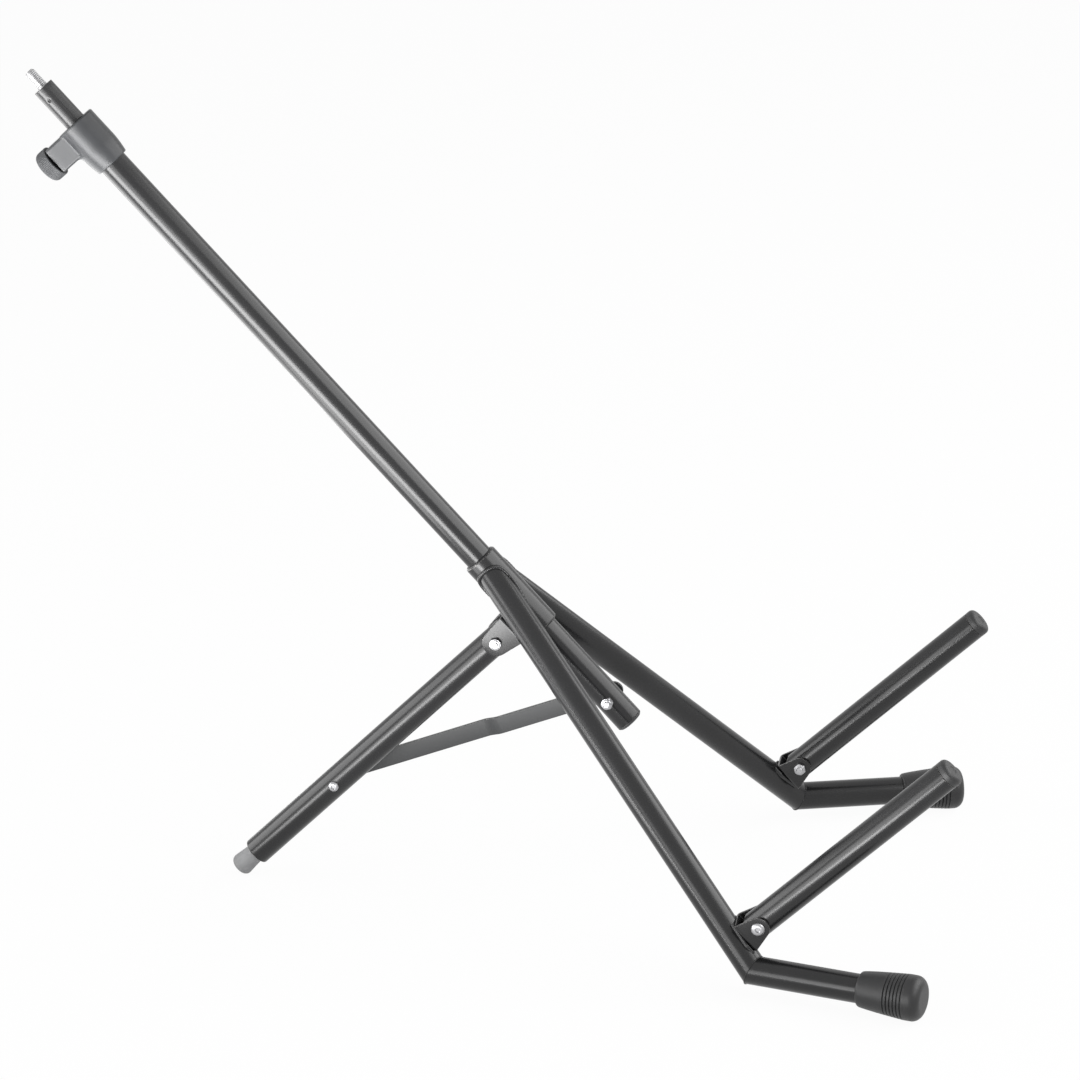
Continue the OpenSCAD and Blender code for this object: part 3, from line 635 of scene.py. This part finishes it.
def collar_radius(z):
    """Outside of the collar: a quarter wave from the narrow lower end out to the full radius, then
    straight, with both rims rounded off."""
    share = np.clip((z - COLLAR_LOW) / COLLAR_SWELL, 0, 1)
    r = COLLAR_LOW_R + (COLLAR_R - COLLAR_LOW_R) * np.sin(share * TURN / 4)
    top = np.clip((z - (COLLAR_TOP - COLLAR_ROUND)) / COLLAR_ROUND, 0, 1)
    foot = np.clip(1 - (z - COLLAR_LOW) / FOOT_ROUND, 0, 1)
    return r - COLLAR_ROUND * (1 - np.sqrt(1 - top ** 2)) - FOOT_ROUND * (1 - np.sqrt(1 - foot ** 2))


def rounded_corner(u, v):
    """Distance to a corner whose two sides are u = 0 and v = 0: round outside it, square inside."""
    return np.hypot(np.maximum(u, 0), np.maximum(v, 0)) + np.minimum(np.maximum(u, v), 0)


def collar_skin():
    """Collar and boss as one skin. On the ray at height z and angle t the radius is the largest at
    which their rounded union ends: the collar is r - R(z), the boss is a block with eased edges,
    and the union is the smaller of both with a fillet blended between them, wide above and below
    the boss and narrow on its flanks."""
    # The rows lie close together at the rims and where the fillet leaves the boss
    levels = np.concatenate([
        COLLAR_LOW + np.array([0, 0.05, 0.2, 0.45, 0.9]), np.linspace(897, BOSS_UP - 14, 19),
        BOSS_UP - BOSS_HALF_WIDTH + np.linspace(-1.4, 3.2, 36),
        np.linspace(BOSS_UP - 9, BOSS_UP + 9, 14),
        BOSS_UP + BOSS_HALF_WIDTH + np.linspace(-3.2, 0.4, 34),
        COLLAR_TOP - COLLAR_ROUND * (1 - np.sin(np.linspace(0, TURN / 4, 14)))])
    z = np.unique(np.round(levels, 4))[:, None, None]
    t = np.linspace(0, TURN, 192, endpoint=False)[None, :, None]
    r = np.linspace(12, 40, 281)[None, None, :]
    fillet = 0.9 + 4.6 * np.clip((np.abs(z - BOSS_UP) - 9.5) / 4, 0, 1)

    def outside(r):
        x, b = r * np.sin(t), r * np.cos(t)
        qx = np.abs(x) - (BOSS_HALF_HEIGHT - BOSS_CORNER)
        qz = np.abs(z - BOSS_UP) - (BOSS_HALF_WIDTH - BOSS_CORNER)
        side = rounded_corner(qx, qz) - BOSS_CORNER
        block = rounded_corner(side + BOSS_EDGE, b - BOSS_REACH + BOSS_EDGE) - BOSS_EDGE
        block = np.where(b > 0, block, 99)
        ring = r - collar_radius(z)
        h = np.clip(0.5 + 0.5 * (block - ring) / fillet, 0, 1)
        return block * (1 - h) + ring * h - fillet * h * (1 - h)

    inside = outside(r) < 0
    last = r[0, 0, (inside.shape[2] - 1 - np.argmax(inside[..., ::-1], axis=2))]
    near, far = last[..., None], last[..., None] + (r[0, 0, 1] - r[0, 0, 0])
    for _ in range(14):
        middle = (near + far) / 2
        solid = outside(middle) < 0
        near, far = np.where(solid, middle, near), np.where(solid, far, middle)
    r, z, t = near[..., 0], z[..., 0], t[..., 0]
    wall = np.stack([r * np.sin(t), r * np.cos(t), z + 0 * t], -1)
    bore = np.array([(10.4, COLLAR_TOP), (9.93, COLLAR_TOP - 0.5), (9.93, COLLAR_TOP - 3),
                     (12.8, COLLAR_TOP - 3), (12.8, COLLAR_LOW + 0.5), (13.1, COLLAR_LOW)])[:, :, None]
    hole = np.stack([bore[:, 0] * np.sin(t), bore[:, 0] * np.cos(t), bore[:, 1] + 0 * t], -1)
    edge = np.abs(np.gradient(r, axis=1)) > 0.6
    return Skin(np.concatenate([wall, hole]), True,
                np.concatenate([edge * 0.3, 0 * hole[..., 0]]))


make("clutch_collar_skin", [collar_skin().at(POST)], grey_plastic, "post",
     ["clutch_collar"])


def ribbed_knob():
    """Knob: a turned profile, hollow under its rim, whose side is cut by ribs: the radius is less
    by depth (1 - cos(n t)) / 2, fading out on the domed face and at the lip."""
    corners = [(0, 7.8), (3.1, 7.8), (3.1, 0.1), (6.2, 0.1), (6.2, 5.0), (12.4, 5.0), (12.4, 0.0),
               (KNOB_R, 0.0), (KNOB_R, KNOB_THICK - 0.6), (0, KNOB_THICK)]
    cuts = [0, 0, 0.2, 0.4, 0.6, 1.0, 0.3, 1.0, 4.6, 0]
    profile = eased(corners, cuts)
    skin = lathe(profile, False, 540)
    x, y, z = np.moveaxis(skin.points, -1, 0)
    r = np.hypot(x, y)
    side = np.clip((r - (KNOB_R - 1.6)) / 1.2, 0, 1) * np.clip((z - 0.6) / 0.5, 0, 1)
    rib = 1 - RIB_DEPTH * (1 - np.cos(KNOB_RIBS * np.arctan2(y, x))) * 0.5 * side / np.maximum(r, 1)
    skin.points[..., 0] *= rib
    skin.points[..., 1] *= rib
    return skin


make("clamp_knob_skin", [ribbed_knob().at(BOSS @ shifted(0, 0, KNOB_IN))], knob_plastic, "clamp_knob",
     ["clamp_knob"])
clamp_rod = threaded(2.98, 0.35, 1.0, 13.05, KNOB_IN + 7.7, 0.6, 13.05, 36)
make("clamp_screw_rod", [clamp_rod.at(BOSS)], zinc, "clamp_knob", ["clamp_screw"])
make("clamp_washer_ring", [pipe(7.2, 3.05, KNOB_IN - 1.2, KNOB_IN, 0.2, 72).at(BOSS)], zinc,
     "clamp_knob", ["clamp_washer"])

# Post, its plug and the hub

make("post_tube", [pipe(TUBE_R, TUBE_BORE, MAST_LOW, MAST_TOP).at(POST)], coat, "post",
     ["mast_tube"])
post_plug = turned_solid([(0, -2.2), (4, -2.2), (5, -3), (10.6, -3), (TUBE_R, -1.2), (TUBE_R, 0),
                          (11.1, 0), (11.1, 12), (0, 12)], 0.7)
make("post_plug", [post_plug.at(POST @ shifted(0, 0, MAST_LOW))], black_plastic, "post",
     ["mast_plug"])


def round_path(radius, height, count=192):
    """Points round the post at one height, with their outward directions."""
    t = np.linspace(0, TURN, count, endpoint=False)
    out = np.stack([np.cos(t), np.sin(t), 0 * t], -1)
    return out * radius + [0, 0, height], out


def post_point(x, back, up):
    return (POST @ np.array([x, back, up, 1.0]))[:3]


bend_centre = post_point(BEND_OUT, 0, bend_up)
apex = post_point(0, 0, APEX_UP)
leg_way = (bend_centre - apex) / np.linalg.norm(bend_centre - apex)
leg_span = np.linalg.norm(bend_centre - apex)
foot_way = np.array([np.sin(np.radians(FOOT_SPLAY)), -np.cos(np.radians(FOOT_SPLAY)), 0])
FRONT_LEG = along(apex, leg_way)
FOOT = along(bend_centre, foot_way)


def reach_hub(start, way):
    """How far along a line it meets the hub's wall: the later root s of the circle
    |start + s way| = radius, seen along the post."""
    a = way[0] ** 2 + way[1] ** 2
    b = start[..., 0] * way[0] + start[..., 1] * way[1]
    c = start[..., 0] ** 2 + start[..., 1] ** 2 - SLEEVE_R ** 2
    return (-b + np.sqrt(np.maximum(b * b - a * c, 0))) / a


def saddle_path(count=256):
    """Where each line of a front leg's wall meets the hub, on the side towards the foot."""
    into = np.linalg.inv(POST) @ FRONT_LEG
    t = np.linspace(0, TURN, count, endpoint=False)
    ring = np.stack([TUBE_R * np.cos(t), TUBE_R * np.sin(t), 0 * t], -1)
    start = ring @ into[:3, :3].T + into[:3, 3]
    way = into[:3, 2]
    meet = start + reach_hub(start, way)[:, None] * way
    out = (ring / TUBE_R) @ into[:3, :3].T + meet * [1, 1, 0] / SLEEVE_R
    return meet, out


saddle, saddle_out = saddle_path()
leg_weld = bead(saddle, saddle_out, 2.0, 60)
welds = [leg_weld.at(POST), leg_weld.at(flipped() @ POST)]
for height in (SLEEVE_LOW + 0.3, SLEEVE_TOP - 0.3):
    path, out = round_path(TUBE_R + 0.9, height)
    welds.append(bead(path, out, 1.5, 48).at(POST))
make("hub_sleeve_tube", [pipe(SLEEVE_R, TUBE_R + 0.05, SLEEVE_LOW, SLEEVE_TOP, 0.9).at(POST)], coat,
     "post", ["hub_sleeve"])
make("hub_welds", welds, coat, "post")

# Bracket of the rear leg: one sheet folded to a U, open to the back, with round ends


def folded_u(half_gap, back, front, bend, count=24):
    """Path of a sheet folded to a U in the XY plane, from one cheek's end round the web to the
    other's: straight cheeks, two quarter circles of the bend's radius, and a straight web."""
    a = np.linspace(0, TURN / 4, count)
    reach = front - (front - back - bend) * np.linspace(0, 1, 80) ** 2
    down = np.stack([np.full(80, -half_gap), reach], -1)
    first = np.stack([-half_gap + bend - bend * np.cos(a), back + bend - bend * np.sin(a)], -1)
    web = np.stack([np.linspace(-half_gap + bend, half_gap - bend, 24), np.full(24, back)], -1)
    half = np.concatenate([down, first[1:]])
    other = half[::-1] * [-1, 1]
    return np.concatenate([half, web[1:-1], other])


def u_bracket(back, centre, bend, web_half, nose_r):
    """Folded bracket with round noses. From the web's corner (web, half) a straight edge runs to
    where it touches the nose: at the angle of the corner from the nose's centre, less
    arccos(r / distance)."""
    web = back + SHEET / 2
    away = np.hypot(web - centre, web_half)
    turn = np.arctan2(web_half, web - centre) - np.arccos(nose_r / away)
    touch_x, touch_y = centre + nose_r * np.cos(turn), nose_r * np.sin(turn)
    path = folded_u(BRACKET_IN + SHEET / 2, back, centre + nose_r, bend)
    place = path[:, 1]
    edge = np.interp(place, [web, touch_x], [web_half, touch_y])
    half = np.where(place > touch_x, nose(place, centre + nose_r, nose_r, 1), edge)
    return strip(path, -half, half, SHEET, 0.45)


make("leg_bracket_sheet",
     [u_bracket(SLEEVE_R + SHEET / 2, LEG_BACK, 3.0, 15.0, 12.0).at(POST @ shifted(0, 0, pivot_up))],
     coat, "post", ["leg_bracket"])

bracket_weld = []
for side in (-1, 1):
    z = np.linspace(-14, 14, 60)
    line = np.stack([np.full(60, side * 9.6), np.full(60, 14.0), z + pivot_up], -1)
    closed = np.concatenate([line, (line - [side * 0.6, 0.3, 0])[::-1]])
    outward = np.tile([side * 0.5, 0.9, 0.0], (len(closed), 1))
    bracket_weld.append(bead(closed, outward, 1.9, 50).at(POST))
make("bracket_welds", bracket_weld, coat, "post")


NUT_THICK = 4.8
NUT_STUB = 1.5


def bolt_set(place, half_span, head_high):
    """Skins of a bolt across a joint: its head, its nut and the thread past the nut, along Z."""
    head = socket_head(6.0, head_high, 2.0, min(head_high * 0.7, 1.6))
    rod = threaded(BOLT_R - 0.03, 0.4, 1.0, 0, NUT_THICK + NUT_STUB, 0.6, -2 * half_span, 36)
    back = place @ shifted(0, 0, -half_span) @ turned("X", 180)
    return head.at(place @ shifted(0, 0, half_span)), lock_nut(NUT_THICK).at(back), rod.at(back)


pivot_place = POST @ shifted(0, LEG_BACK, pivot_up) @ ACROSS
cheek = BRACKET_IN + SHEET
head, nut, rod = bolt_set(pivot_place, cheek, 1.5)
make("leg_pivot_bolt_skin", [head, rod], zinc, "post", ["leg_pivot_bolt"])
make("leg_pivot_nut_skin", [nut], zinc, "post", ["leg_pivot_nut"])

# Rear leg

make("rear_leg_tube", [pipe(TUBE_R, TUBE_BORE, -11, leg_length, 1.3).at(LEG)], coat, "rear_leg",
     ["rear_leg"])


def rear_foot_skin():
    """Rubber foot, turned round the leg: a root inside the tube, a waist, a flare and an edge that is
    a quarter circle."""
    a = np.linspace(0, TURN / 4, 16)
    edge = np.stack([REAR_FOOT_R - REAR_FOOT_EDGE * (1 - np.cos(a)),
                     foot_centre + REAR_FOOT_EDGE * np.sin(a), 0.4 * np.sin(2 * a)], -1)
    root = eased([(0, leg_length - 22), (11.1, leg_length - 22), (11.1, leg_length - 0.6),
                  (8.8, leg_length + 0.2), (8.9, leg_length + 4), (REAR_FOOT_R, foot_centre)],
                 [0, 0.8, 0.5, 0.8, 3.0, 0])
    end = foot_centre + REAR_FOOT_EDGE
    face = np.array([(2.0, end, 0), (1.6, end - 0.4, 0), (0, end - 0.4, 0)])
    return lathe(np.concatenate([root, edge, face]), False)


make("rear_foot_skin", [rear_foot_skin().at(LEG)], foot_rubber, "rear_leg", ["rear_foot"])
brace_bolt_place = LEG @ shifted(0, 0, BRACE_DOWN) @ ACROSS
head = socket_head(4.74, 3.9, 1.9, 1.6).at(brace_bolt_place @ shifted(0, 0, -11.8) @ turned("X", 180))
nut = lock_nut(NUT_THICK).at(brace_bolt_place @ shifted(0, 0, BAR_OUT + 0.08))
rod = threaded(2.97, 0.4, 1.0, BAR_OUT, BAR_OUT + 5.6, 0.6, -12, 36).at(brace_bolt_place)
make("brace_bolt_skin", [head, rod], zinc, "rear_leg", ["brace_bolt"])
make("brace_nut_skin", [nut], zinc, "rear_leg", ["brace_nut"])

# Brace bar: its lower edge rises into the hook's mouth

BRACE_R = 8.0
HOOK_SEAT = 4.3
HOOK_ENTRY = np.radians(37)


def brace_skin():
    """Flat bar with round ends. Its lower edge is -r, but in the hook's mouth it climbs the slanted
    entry to the seat, follows the seat's circle sqrt(h^2 - d^2) and drops at the finger. Seen from
    above, the bar steps inwards by a smooth ramp 3 t^2 - 2 t^3 before the hook."""
    tip = brace_span + HOOK_SEAT + 6
    seat_x, seat_y = HOOK_SEAT * np.sin(HOOK_ENTRY), HOOK_SEAT * np.cos(HOOK_ENTRY)
    entry_end = brace_span - seat_x
    entry_start = entry_end - (seat_y + BRACE_R) / np.tan(HOOK_ENTRY)
    finger = brace_span + HOOK_SEAT
    x = np.unique(np.round(np.concatenate([
        -BRACE_R * np.cos(np.linspace(0, TURN / 4, 18)), np.linspace(0, entry_start, 20),
        np.linspace(STEP_START - 1, STEP_START + STEP_RUN + 1, 36),
        entry_start + np.array([-0.4, -0.1, 0.1, 0.4]), np.linspace(entry_start, entry_end, 24),
        np.linspace(entry_end, finger, 40), finger + np.array([-0.002, 0.002, 0.3]),
        tip - BRACE_R + BRACE_R * np.sin(np.linspace(0, TURN / 4, 24))]), 5))
    half = np.where(x < 0, nose(x, -BRACE_R, BRACE_R, -1), BRACE_R)
    half = np.where(x > tip - BRACE_R, nose(x, tip, BRACE_R, 1), half)
    d = x - brace_span
    low = -half
    slope = seat_y - (entry_end - x) * np.tan(HOOK_ENTRY)
    low = np.where((x > entry_start) & (x <= entry_end), np.maximum(slope, -half), low)
    seat = np.sqrt(np.maximum(HOOK_SEAT ** 2 - d ** 2, 0))
    low = np.where((x > entry_end) & (x <= finger), seat, low)
    t = np.clip((x - STEP_START) / STEP_RUN, 0, 1)
    skin = strip(np.stack([x, -BAR_STEP * t * t * (3 - 2 * t)], -1), low, half, BAR_THICK, 0.45)
    return skin.at(BRACE @ shifted(0, 0, 1.5) @ turned("X", -90))


make("brace_bar", [brace_skin()], satin_coat, "brace", ["leg_brace"])

hook_place = POST @ shifted(0, 0, HOOK_UP) @ ACROSS
stud_profile = eased([(0, 6), (6.5, 6), (6.5, 16.9), (4.0, 16.9), (4.0, 20.5), (7.0, 20.5),
                      (7.0, 21.7), (0, 21.7)], [0, 0.4, 0.5, 0.3, 0.3, 0.3, 0.8, 0])
make("hook_stud_skin", [lathe(stud_profile, False, 72).at(hook_place),
                        threaded(2.97, 0.4, 1.0, TUBE_R, TUBE_R + 6.3, 0.6, -12, 36)
                        .at(hook_place @ turned("X", 180))], zinc, "post", ["hook_stud"])
make("hook_nut_skin", [lock_nut(6.3).at(hook_place @ shifted(0, 0, -11.2) @ turned("X", 180))],
     zinc, "post", ["hook_nut"])

# Front legs and feet, mitred at the bend

mitre_normal = (leg_way + foot_way) / np.linalg.norm(leg_way + foot_way)


def mitre_slope(place):
    """How far a tube's wall runs past its axis's end to reach the mitre: the plane n . p = 0
    through the bend gives z = -(n . x) x - (n . y) y over n . z in the tube's own axes."""
    n = place[:3, :3].T @ mitre_normal
    return lambda x, y: -(n[0] * x + n[1] * y) / n[2]


def hub_gap(x, y):
    """Where a front leg's wall starts, inside the hub's wall, from the same root as its weld."""
    into = np.linalg.inv(POST) @ FRONT_LEG
    start = np.stack([x, y, 0 * x], -1) @ into[:3, :3].T
    return reach_hub(start, into[:3, 2])


leg_skin = pipe(TUBE_R, TUBE_BORE, 0, leg_span, 0.05)
leg_skin = cut_end(cut_end(leg_skin, True, hub_gap), False, mitre_slope(FRONT_LEG))
foot_skin = cut_end(pipe(TUBE_R, TUBE_BORE, 0, FOOT_LENGTH - 9.2, 0.3), True, mitre_slope(FOOT))


def seam_path(count=192):
    """Where the foot's wall meets the mitre: its circle (r cos t, r sin t), carried along the foot
    to the mitre's plane. The second result is the outward directions."""
    t = np.linspace(0, TURN, count, endpoint=False)
    x, y = TUBE_R * np.cos(t), TUBE_R * np.sin(t)
    ring = np.stack([x, y, mitre_slope(FOOT)(x, y)], -1)
    return ring @ FOOT[:3, :3].T + FOOT[:3, 3], (ring * [1, 1, 0]) @ FOOT[:3, :3].T


seam_bead = bead(*seam_path(), 0.55, 40)

CAP_MOUTH_R = 15.0
LIP_LENGTH = 2.2
LIP_DROP = 1.2
GROOVE_PITCH = 3.2
GROOVE_GAPS = 5
GROOVE_HALF = 0.7
GROOVE_DEPTH = 0.95
LAST_GROOVE = 140


def cap_profile():
    """Rubber cap: a sleeve that swells with the power 0.72 of its length, ring grooves cut as depth
    (1 + cos) / 2 across each, and a round end. Rows are (radius, distance from the bend, wear)."""
    z = np.concatenate([np.linspace(CAP_START, 119, 40), np.linspace(119.2, 141.5, 140)])
    share = (z - CAP_START) / (LAST_GROOVE - CAP_START)
    r = CAP_MOUTH_R + (CAP_R - CAP_MOUTH_R) * np.clip(share, 0, 1) ** 0.72
    lip = np.clip((z - CAP_START) / LIP_LENGTH, 0, 1)
    r = r - LIP_DROP * (1 - np.sqrt(1 - (1 - lip) ** 2))
    place = (z - (LAST_GROOVE - GROOVE_GAPS * GROOVE_PITCH)) / GROOVE_PITCH
    near = np.abs(place - np.round(place)) * GROOVE_PITCH
    dip = 0.5 + 0.5 * np.cos(near / GROOVE_HALF * np.pi)
    cut = (place > -0.3) & (place < GROOVE_GAPS + 0.3) & (near < GROOVE_HALF)
    r = r - GROOVE_DEPTH * np.where(cut, dip, 0)
    rubbed = (near > GROOVE_HALF - 0.05) & (place > -0.6) & (place < GROOVE_GAPS + 0.6)
    outer = np.stack([r, z, np.where(rubbed, 0.6, 0.0)], -1)
    a = np.linspace(0, TURN / 4, 22)[1:]
    end = np.stack([CAP_R - 9 + 8.97 * np.cos(a), FOOT_LENGTH - 9 + 8.97 * np.sin(a), 0 * a], -1)
    face = np.array([(7.0, FOOT_LENGTH - 0.02, 0), (0, FOOT_LENGTH, 0)])
    bore = np.array([(0, FOOT_LENGTH - 9.1, 0), (12.75, FOOT_LENGTH - 9.1, 0), (12.75, CAP_START, 0)])
    return np.concatenate([bore, outer, end, face])


cap_skin = lathe(cap_profile(), False)

# Support arms and their forks


def arm_root(x, y):
    """Shape of the arm's root: square over its lower half, and above it the circle of the arm's
    swing about its pivot, s - sqrt(s^2 - y^2)."""
    return np.where(y > 0, ARM_SWING_R - np.sqrt(ARM_SWING_R ** 2 - y ** 2), 0)


def arm_cap_profile():
    """End cap of an arm: a root inside the tube, a rim over its end, a quarter circle for the edge
    and a flat face. Rows are (radius, distance along the arm, wear)."""
    a = np.linspace(0, TURN / 4, 14)
    root = np.array([(0, ARM_TIP - 28, 0), (11.1, ARM_TIP - 28, 0), (11.1, ARM_TIP - 8, 0),
                     (12.2, ARM_TIP - 8, 0.4), (TUBE_R, ARM_TIP - 7.5, 0.6),
                     (TUBE_R, ARM_TIP - 4.4, 0)])
    edge = np.stack([8.7 + ARM_CAP_ROUND * np.cos(a), ARM_TIP - 4 + ARM_CAP_ROUND * np.sin(a),
                     0.3 * np.sin(2 * a)], -1)
    face = np.array([(4.0, ARM_TIP, 0), (3.4, ARM_TIP - 0.5, 0), (0, ARM_TIP - 0.5, 0)])
    return np.concatenate([root, edge, face])


arm_skin = cut_end(pipe(TUBE_R, TUBE_BORE, ARM_PIVOT - ARM_SWING_R, ARM_TIP - 8), True, arm_root)
arm_cap = lathe(arm_cap_profile(), False)
fork = u_bracket(TUBE_R + SHEET / 2, ARM_PIVOT, 2.6, 14.2, 10.0).at(turned("X", 90))


def fork_welds():
    """Beads that close the gap between the fork's web and the round leg: a straight line on each
    side that leans as the leg does, and runs back beside itself."""
    lean = np.arctan2(BEND_OUT, APEX_UP - bend_up)
    made = []
    for side in (-1, 1):
        y = np.linspace(-13.5, 13.5, 60)
        aside = side * 10.6 - y * np.tan(lean)
        line = np.stack([np.clip(aside, -13.6, 13.6), y, np.full(60, 10.8)], -1)
        closed = np.concatenate([line, (line - [0, 0, 0.8])[::-1]])
        made.append(bead(closed, np.tile([side * 0.7, 0.0, 0.7], (len(closed), 1)), 1.8, 44))
    return made


for side, word in ((-1, "left"), (1, "right")):
    arm = "arm_" + word
    make("front_leg_tube_" + word, [leg_skin.at(sided(FRONT_LEG, side))], coat, "post",
         ["front_leg_" + word])
    make("foot_tube_skin_" + word, [foot_skin.at(sided(FOOT, side))], coat, "post",
         ["foot_tube_" + word])
    make("bend_seam_" + word, [seam_bead.at(sided(np.eye(4), side))], coat, "post")
    make("foot_cap_" + word, [cap_skin.at(sided(FOOT, side))], cap_rubber, "post",
         ["front_cap_" + word])
    make("arm_fork_" + word, [fork.at(sided(ARM, side))], coat, "post",
         ["arm_bracket_" + word])
    make("fork_welds_" + word, [s.at(sided(ARM, side)) for s in fork_welds()], coat, "post")
    make("arm_tube_" + word, [arm_skin.at(sided(ARM, side))], coat, arm,
         ["support_arm_" + word])
    make("arm_end_cap_" + word, [arm_cap.at(sided(ARM, side))], cap_rubber, arm,
         ["arm_cap_" + word])
    pivot = sided(ARM @ shifted(0, 0, ARM_PIVOT) @ ACROSS, side)
    head, nut, rod = bolt_set(pivot, cheek, 3.0)
    make("arm_bolt_skin_" + word, [head, rod], zinc, "post", ["arm_bolt_" + word])
    make("arm_nut_skin_" + word, [nut], zinc, "post", ["arm_nut_" + word])

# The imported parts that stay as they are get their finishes

KEPT = {"clutch_liner": nylon, "clamp_nut": brass, "clamp_pad": nylon, "leg_pivot_washers": nylon,
        "leg_top_plug": black_plastic, "brace_spacer": zinc, "arm_plug_left": black_plastic,
        "arm_plug_right": black_plastic, "arm_washers_left": nylon, "arm_washers_right": nylon}
for name, finish in KEPT.items():
    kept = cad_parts[name]
    kept.data.materials.clear()
    kept.data.materials.append(finish)

# Stage: a pale floor, a white surround and soft lamps

SEEN = ("Is Camera Ray", "Is Glossy Ray", "Is Transmission Ray")


def seen_rays(g):
    """1 for the camera's rays, mirrored rays and rays through glass, 0 for those that light."""
    camera_ray, glossy, through = [g.node("ShaderNodeLightPath", {}, {}, kind) for kind in SEEN]
    return camera_ray.math("MAXIMUM", glossy).math("MAXIMUM", through)


def pale_floor():
    """White floor that keeps the stand's shadow. Where it is seen, most of it shines plain white."""
    g = Graph(bpy.data.materials.new("pale_floor"))
    paint = g.surface(Base_Color=(0.86, 0.86, 0.86), Roughness=0.9)
    glow = g.node("ShaderNodeEmission", {}, {"Color": (1, 1, 1)})
    return g.finish(g.node("ShaderNodeMixShader", {}, {0: seen_rays(g) * 0.95, 1: paint, 2: glow}))


def white_surround():
    """Plain white where it is seen, and a milder light on the stand."""
    g = Graph(bpy.data.worlds.new("white_surround"), "ShaderNodeOutputWorld")
    strength = g.node("ShaderNodeMapRange", {}, {"Value": seen_rays(g), "To Min": 0.42, "To Max": 1.0})
    return g.finish(g.node("ShaderNodeBackground", {}, {"Color": (1, 1, 1), "Strength": strength}))


FLOOR_HALF = 12.0
FLOOR_DROP = 0.0004
corners = [(-FLOOR_HALF, -FLOOR_HALF, -FLOOR_DROP), (FLOOR_HALF, -FLOOR_HALF, -FLOOR_DROP),
           (FLOOR_HALF, FLOOR_HALF, -FLOOR_DROP), (-FLOOR_HALF, FLOOR_HALF, -FLOOR_DROP)]
floor_mesh = bpy.data.meshes.new("floor")
floor_mesh.from_pydata(corners, [], [(0, 1, 2, 3)])
floor = bpy.data.objects.new("floor", floor_mesh)
bpy.context.scene.collection.objects.link(floor)
floor.data.materials.append(pale_floor())

bpy.context.scene.world = white_surround()


def lamp(name, at, aim, size, power):
    """Soft rectangular lamp at a point, turned to face another."""
    data = bpy.data.lights.new(name, "AREA")
    data.shape, data.size, data.size_y, data.energy = "RECTANGLE", size[0], size[1], power
    made = bpy.data.objects.new(name, data)
    bpy.context.scene.collection.objects.link(made)
    made.matrix_world = Matrix(along(at, np.subtract(at, aim)))
    made.visible_camera = False


lamp("left_floor_glow", (-1.34, 0.83, 0.002), (-1.34, 0.83, 1), (1.34, 2.32), 172)
lamp("near_floor_glow", (-0.42, 0.5, 0.002), (-0.42, 0.5, 1), (0.44, 0.4), 4.0)
lamp("rear_floor_glow", (0.35, 1.0, 0.002), (0.35, 1.0, 1), (1.0, 1.0), 10)
lamp("rear_panel", (-0.5, 2.6, 1.0), (0, 0.2, 0.15), (2.4, 1.1), 36)
lamp("left_panel", (-2.1, 0.95, 0.45), (0, 0, 0.3), (1.2, 0.9), 14)
lamp("front_lamp", (0.1, -2.4, 2.0), (0, 0, 0.4), (4.6, 1.6), 86)

bpy.context.scene.view_settings.view_transform = "Standard"
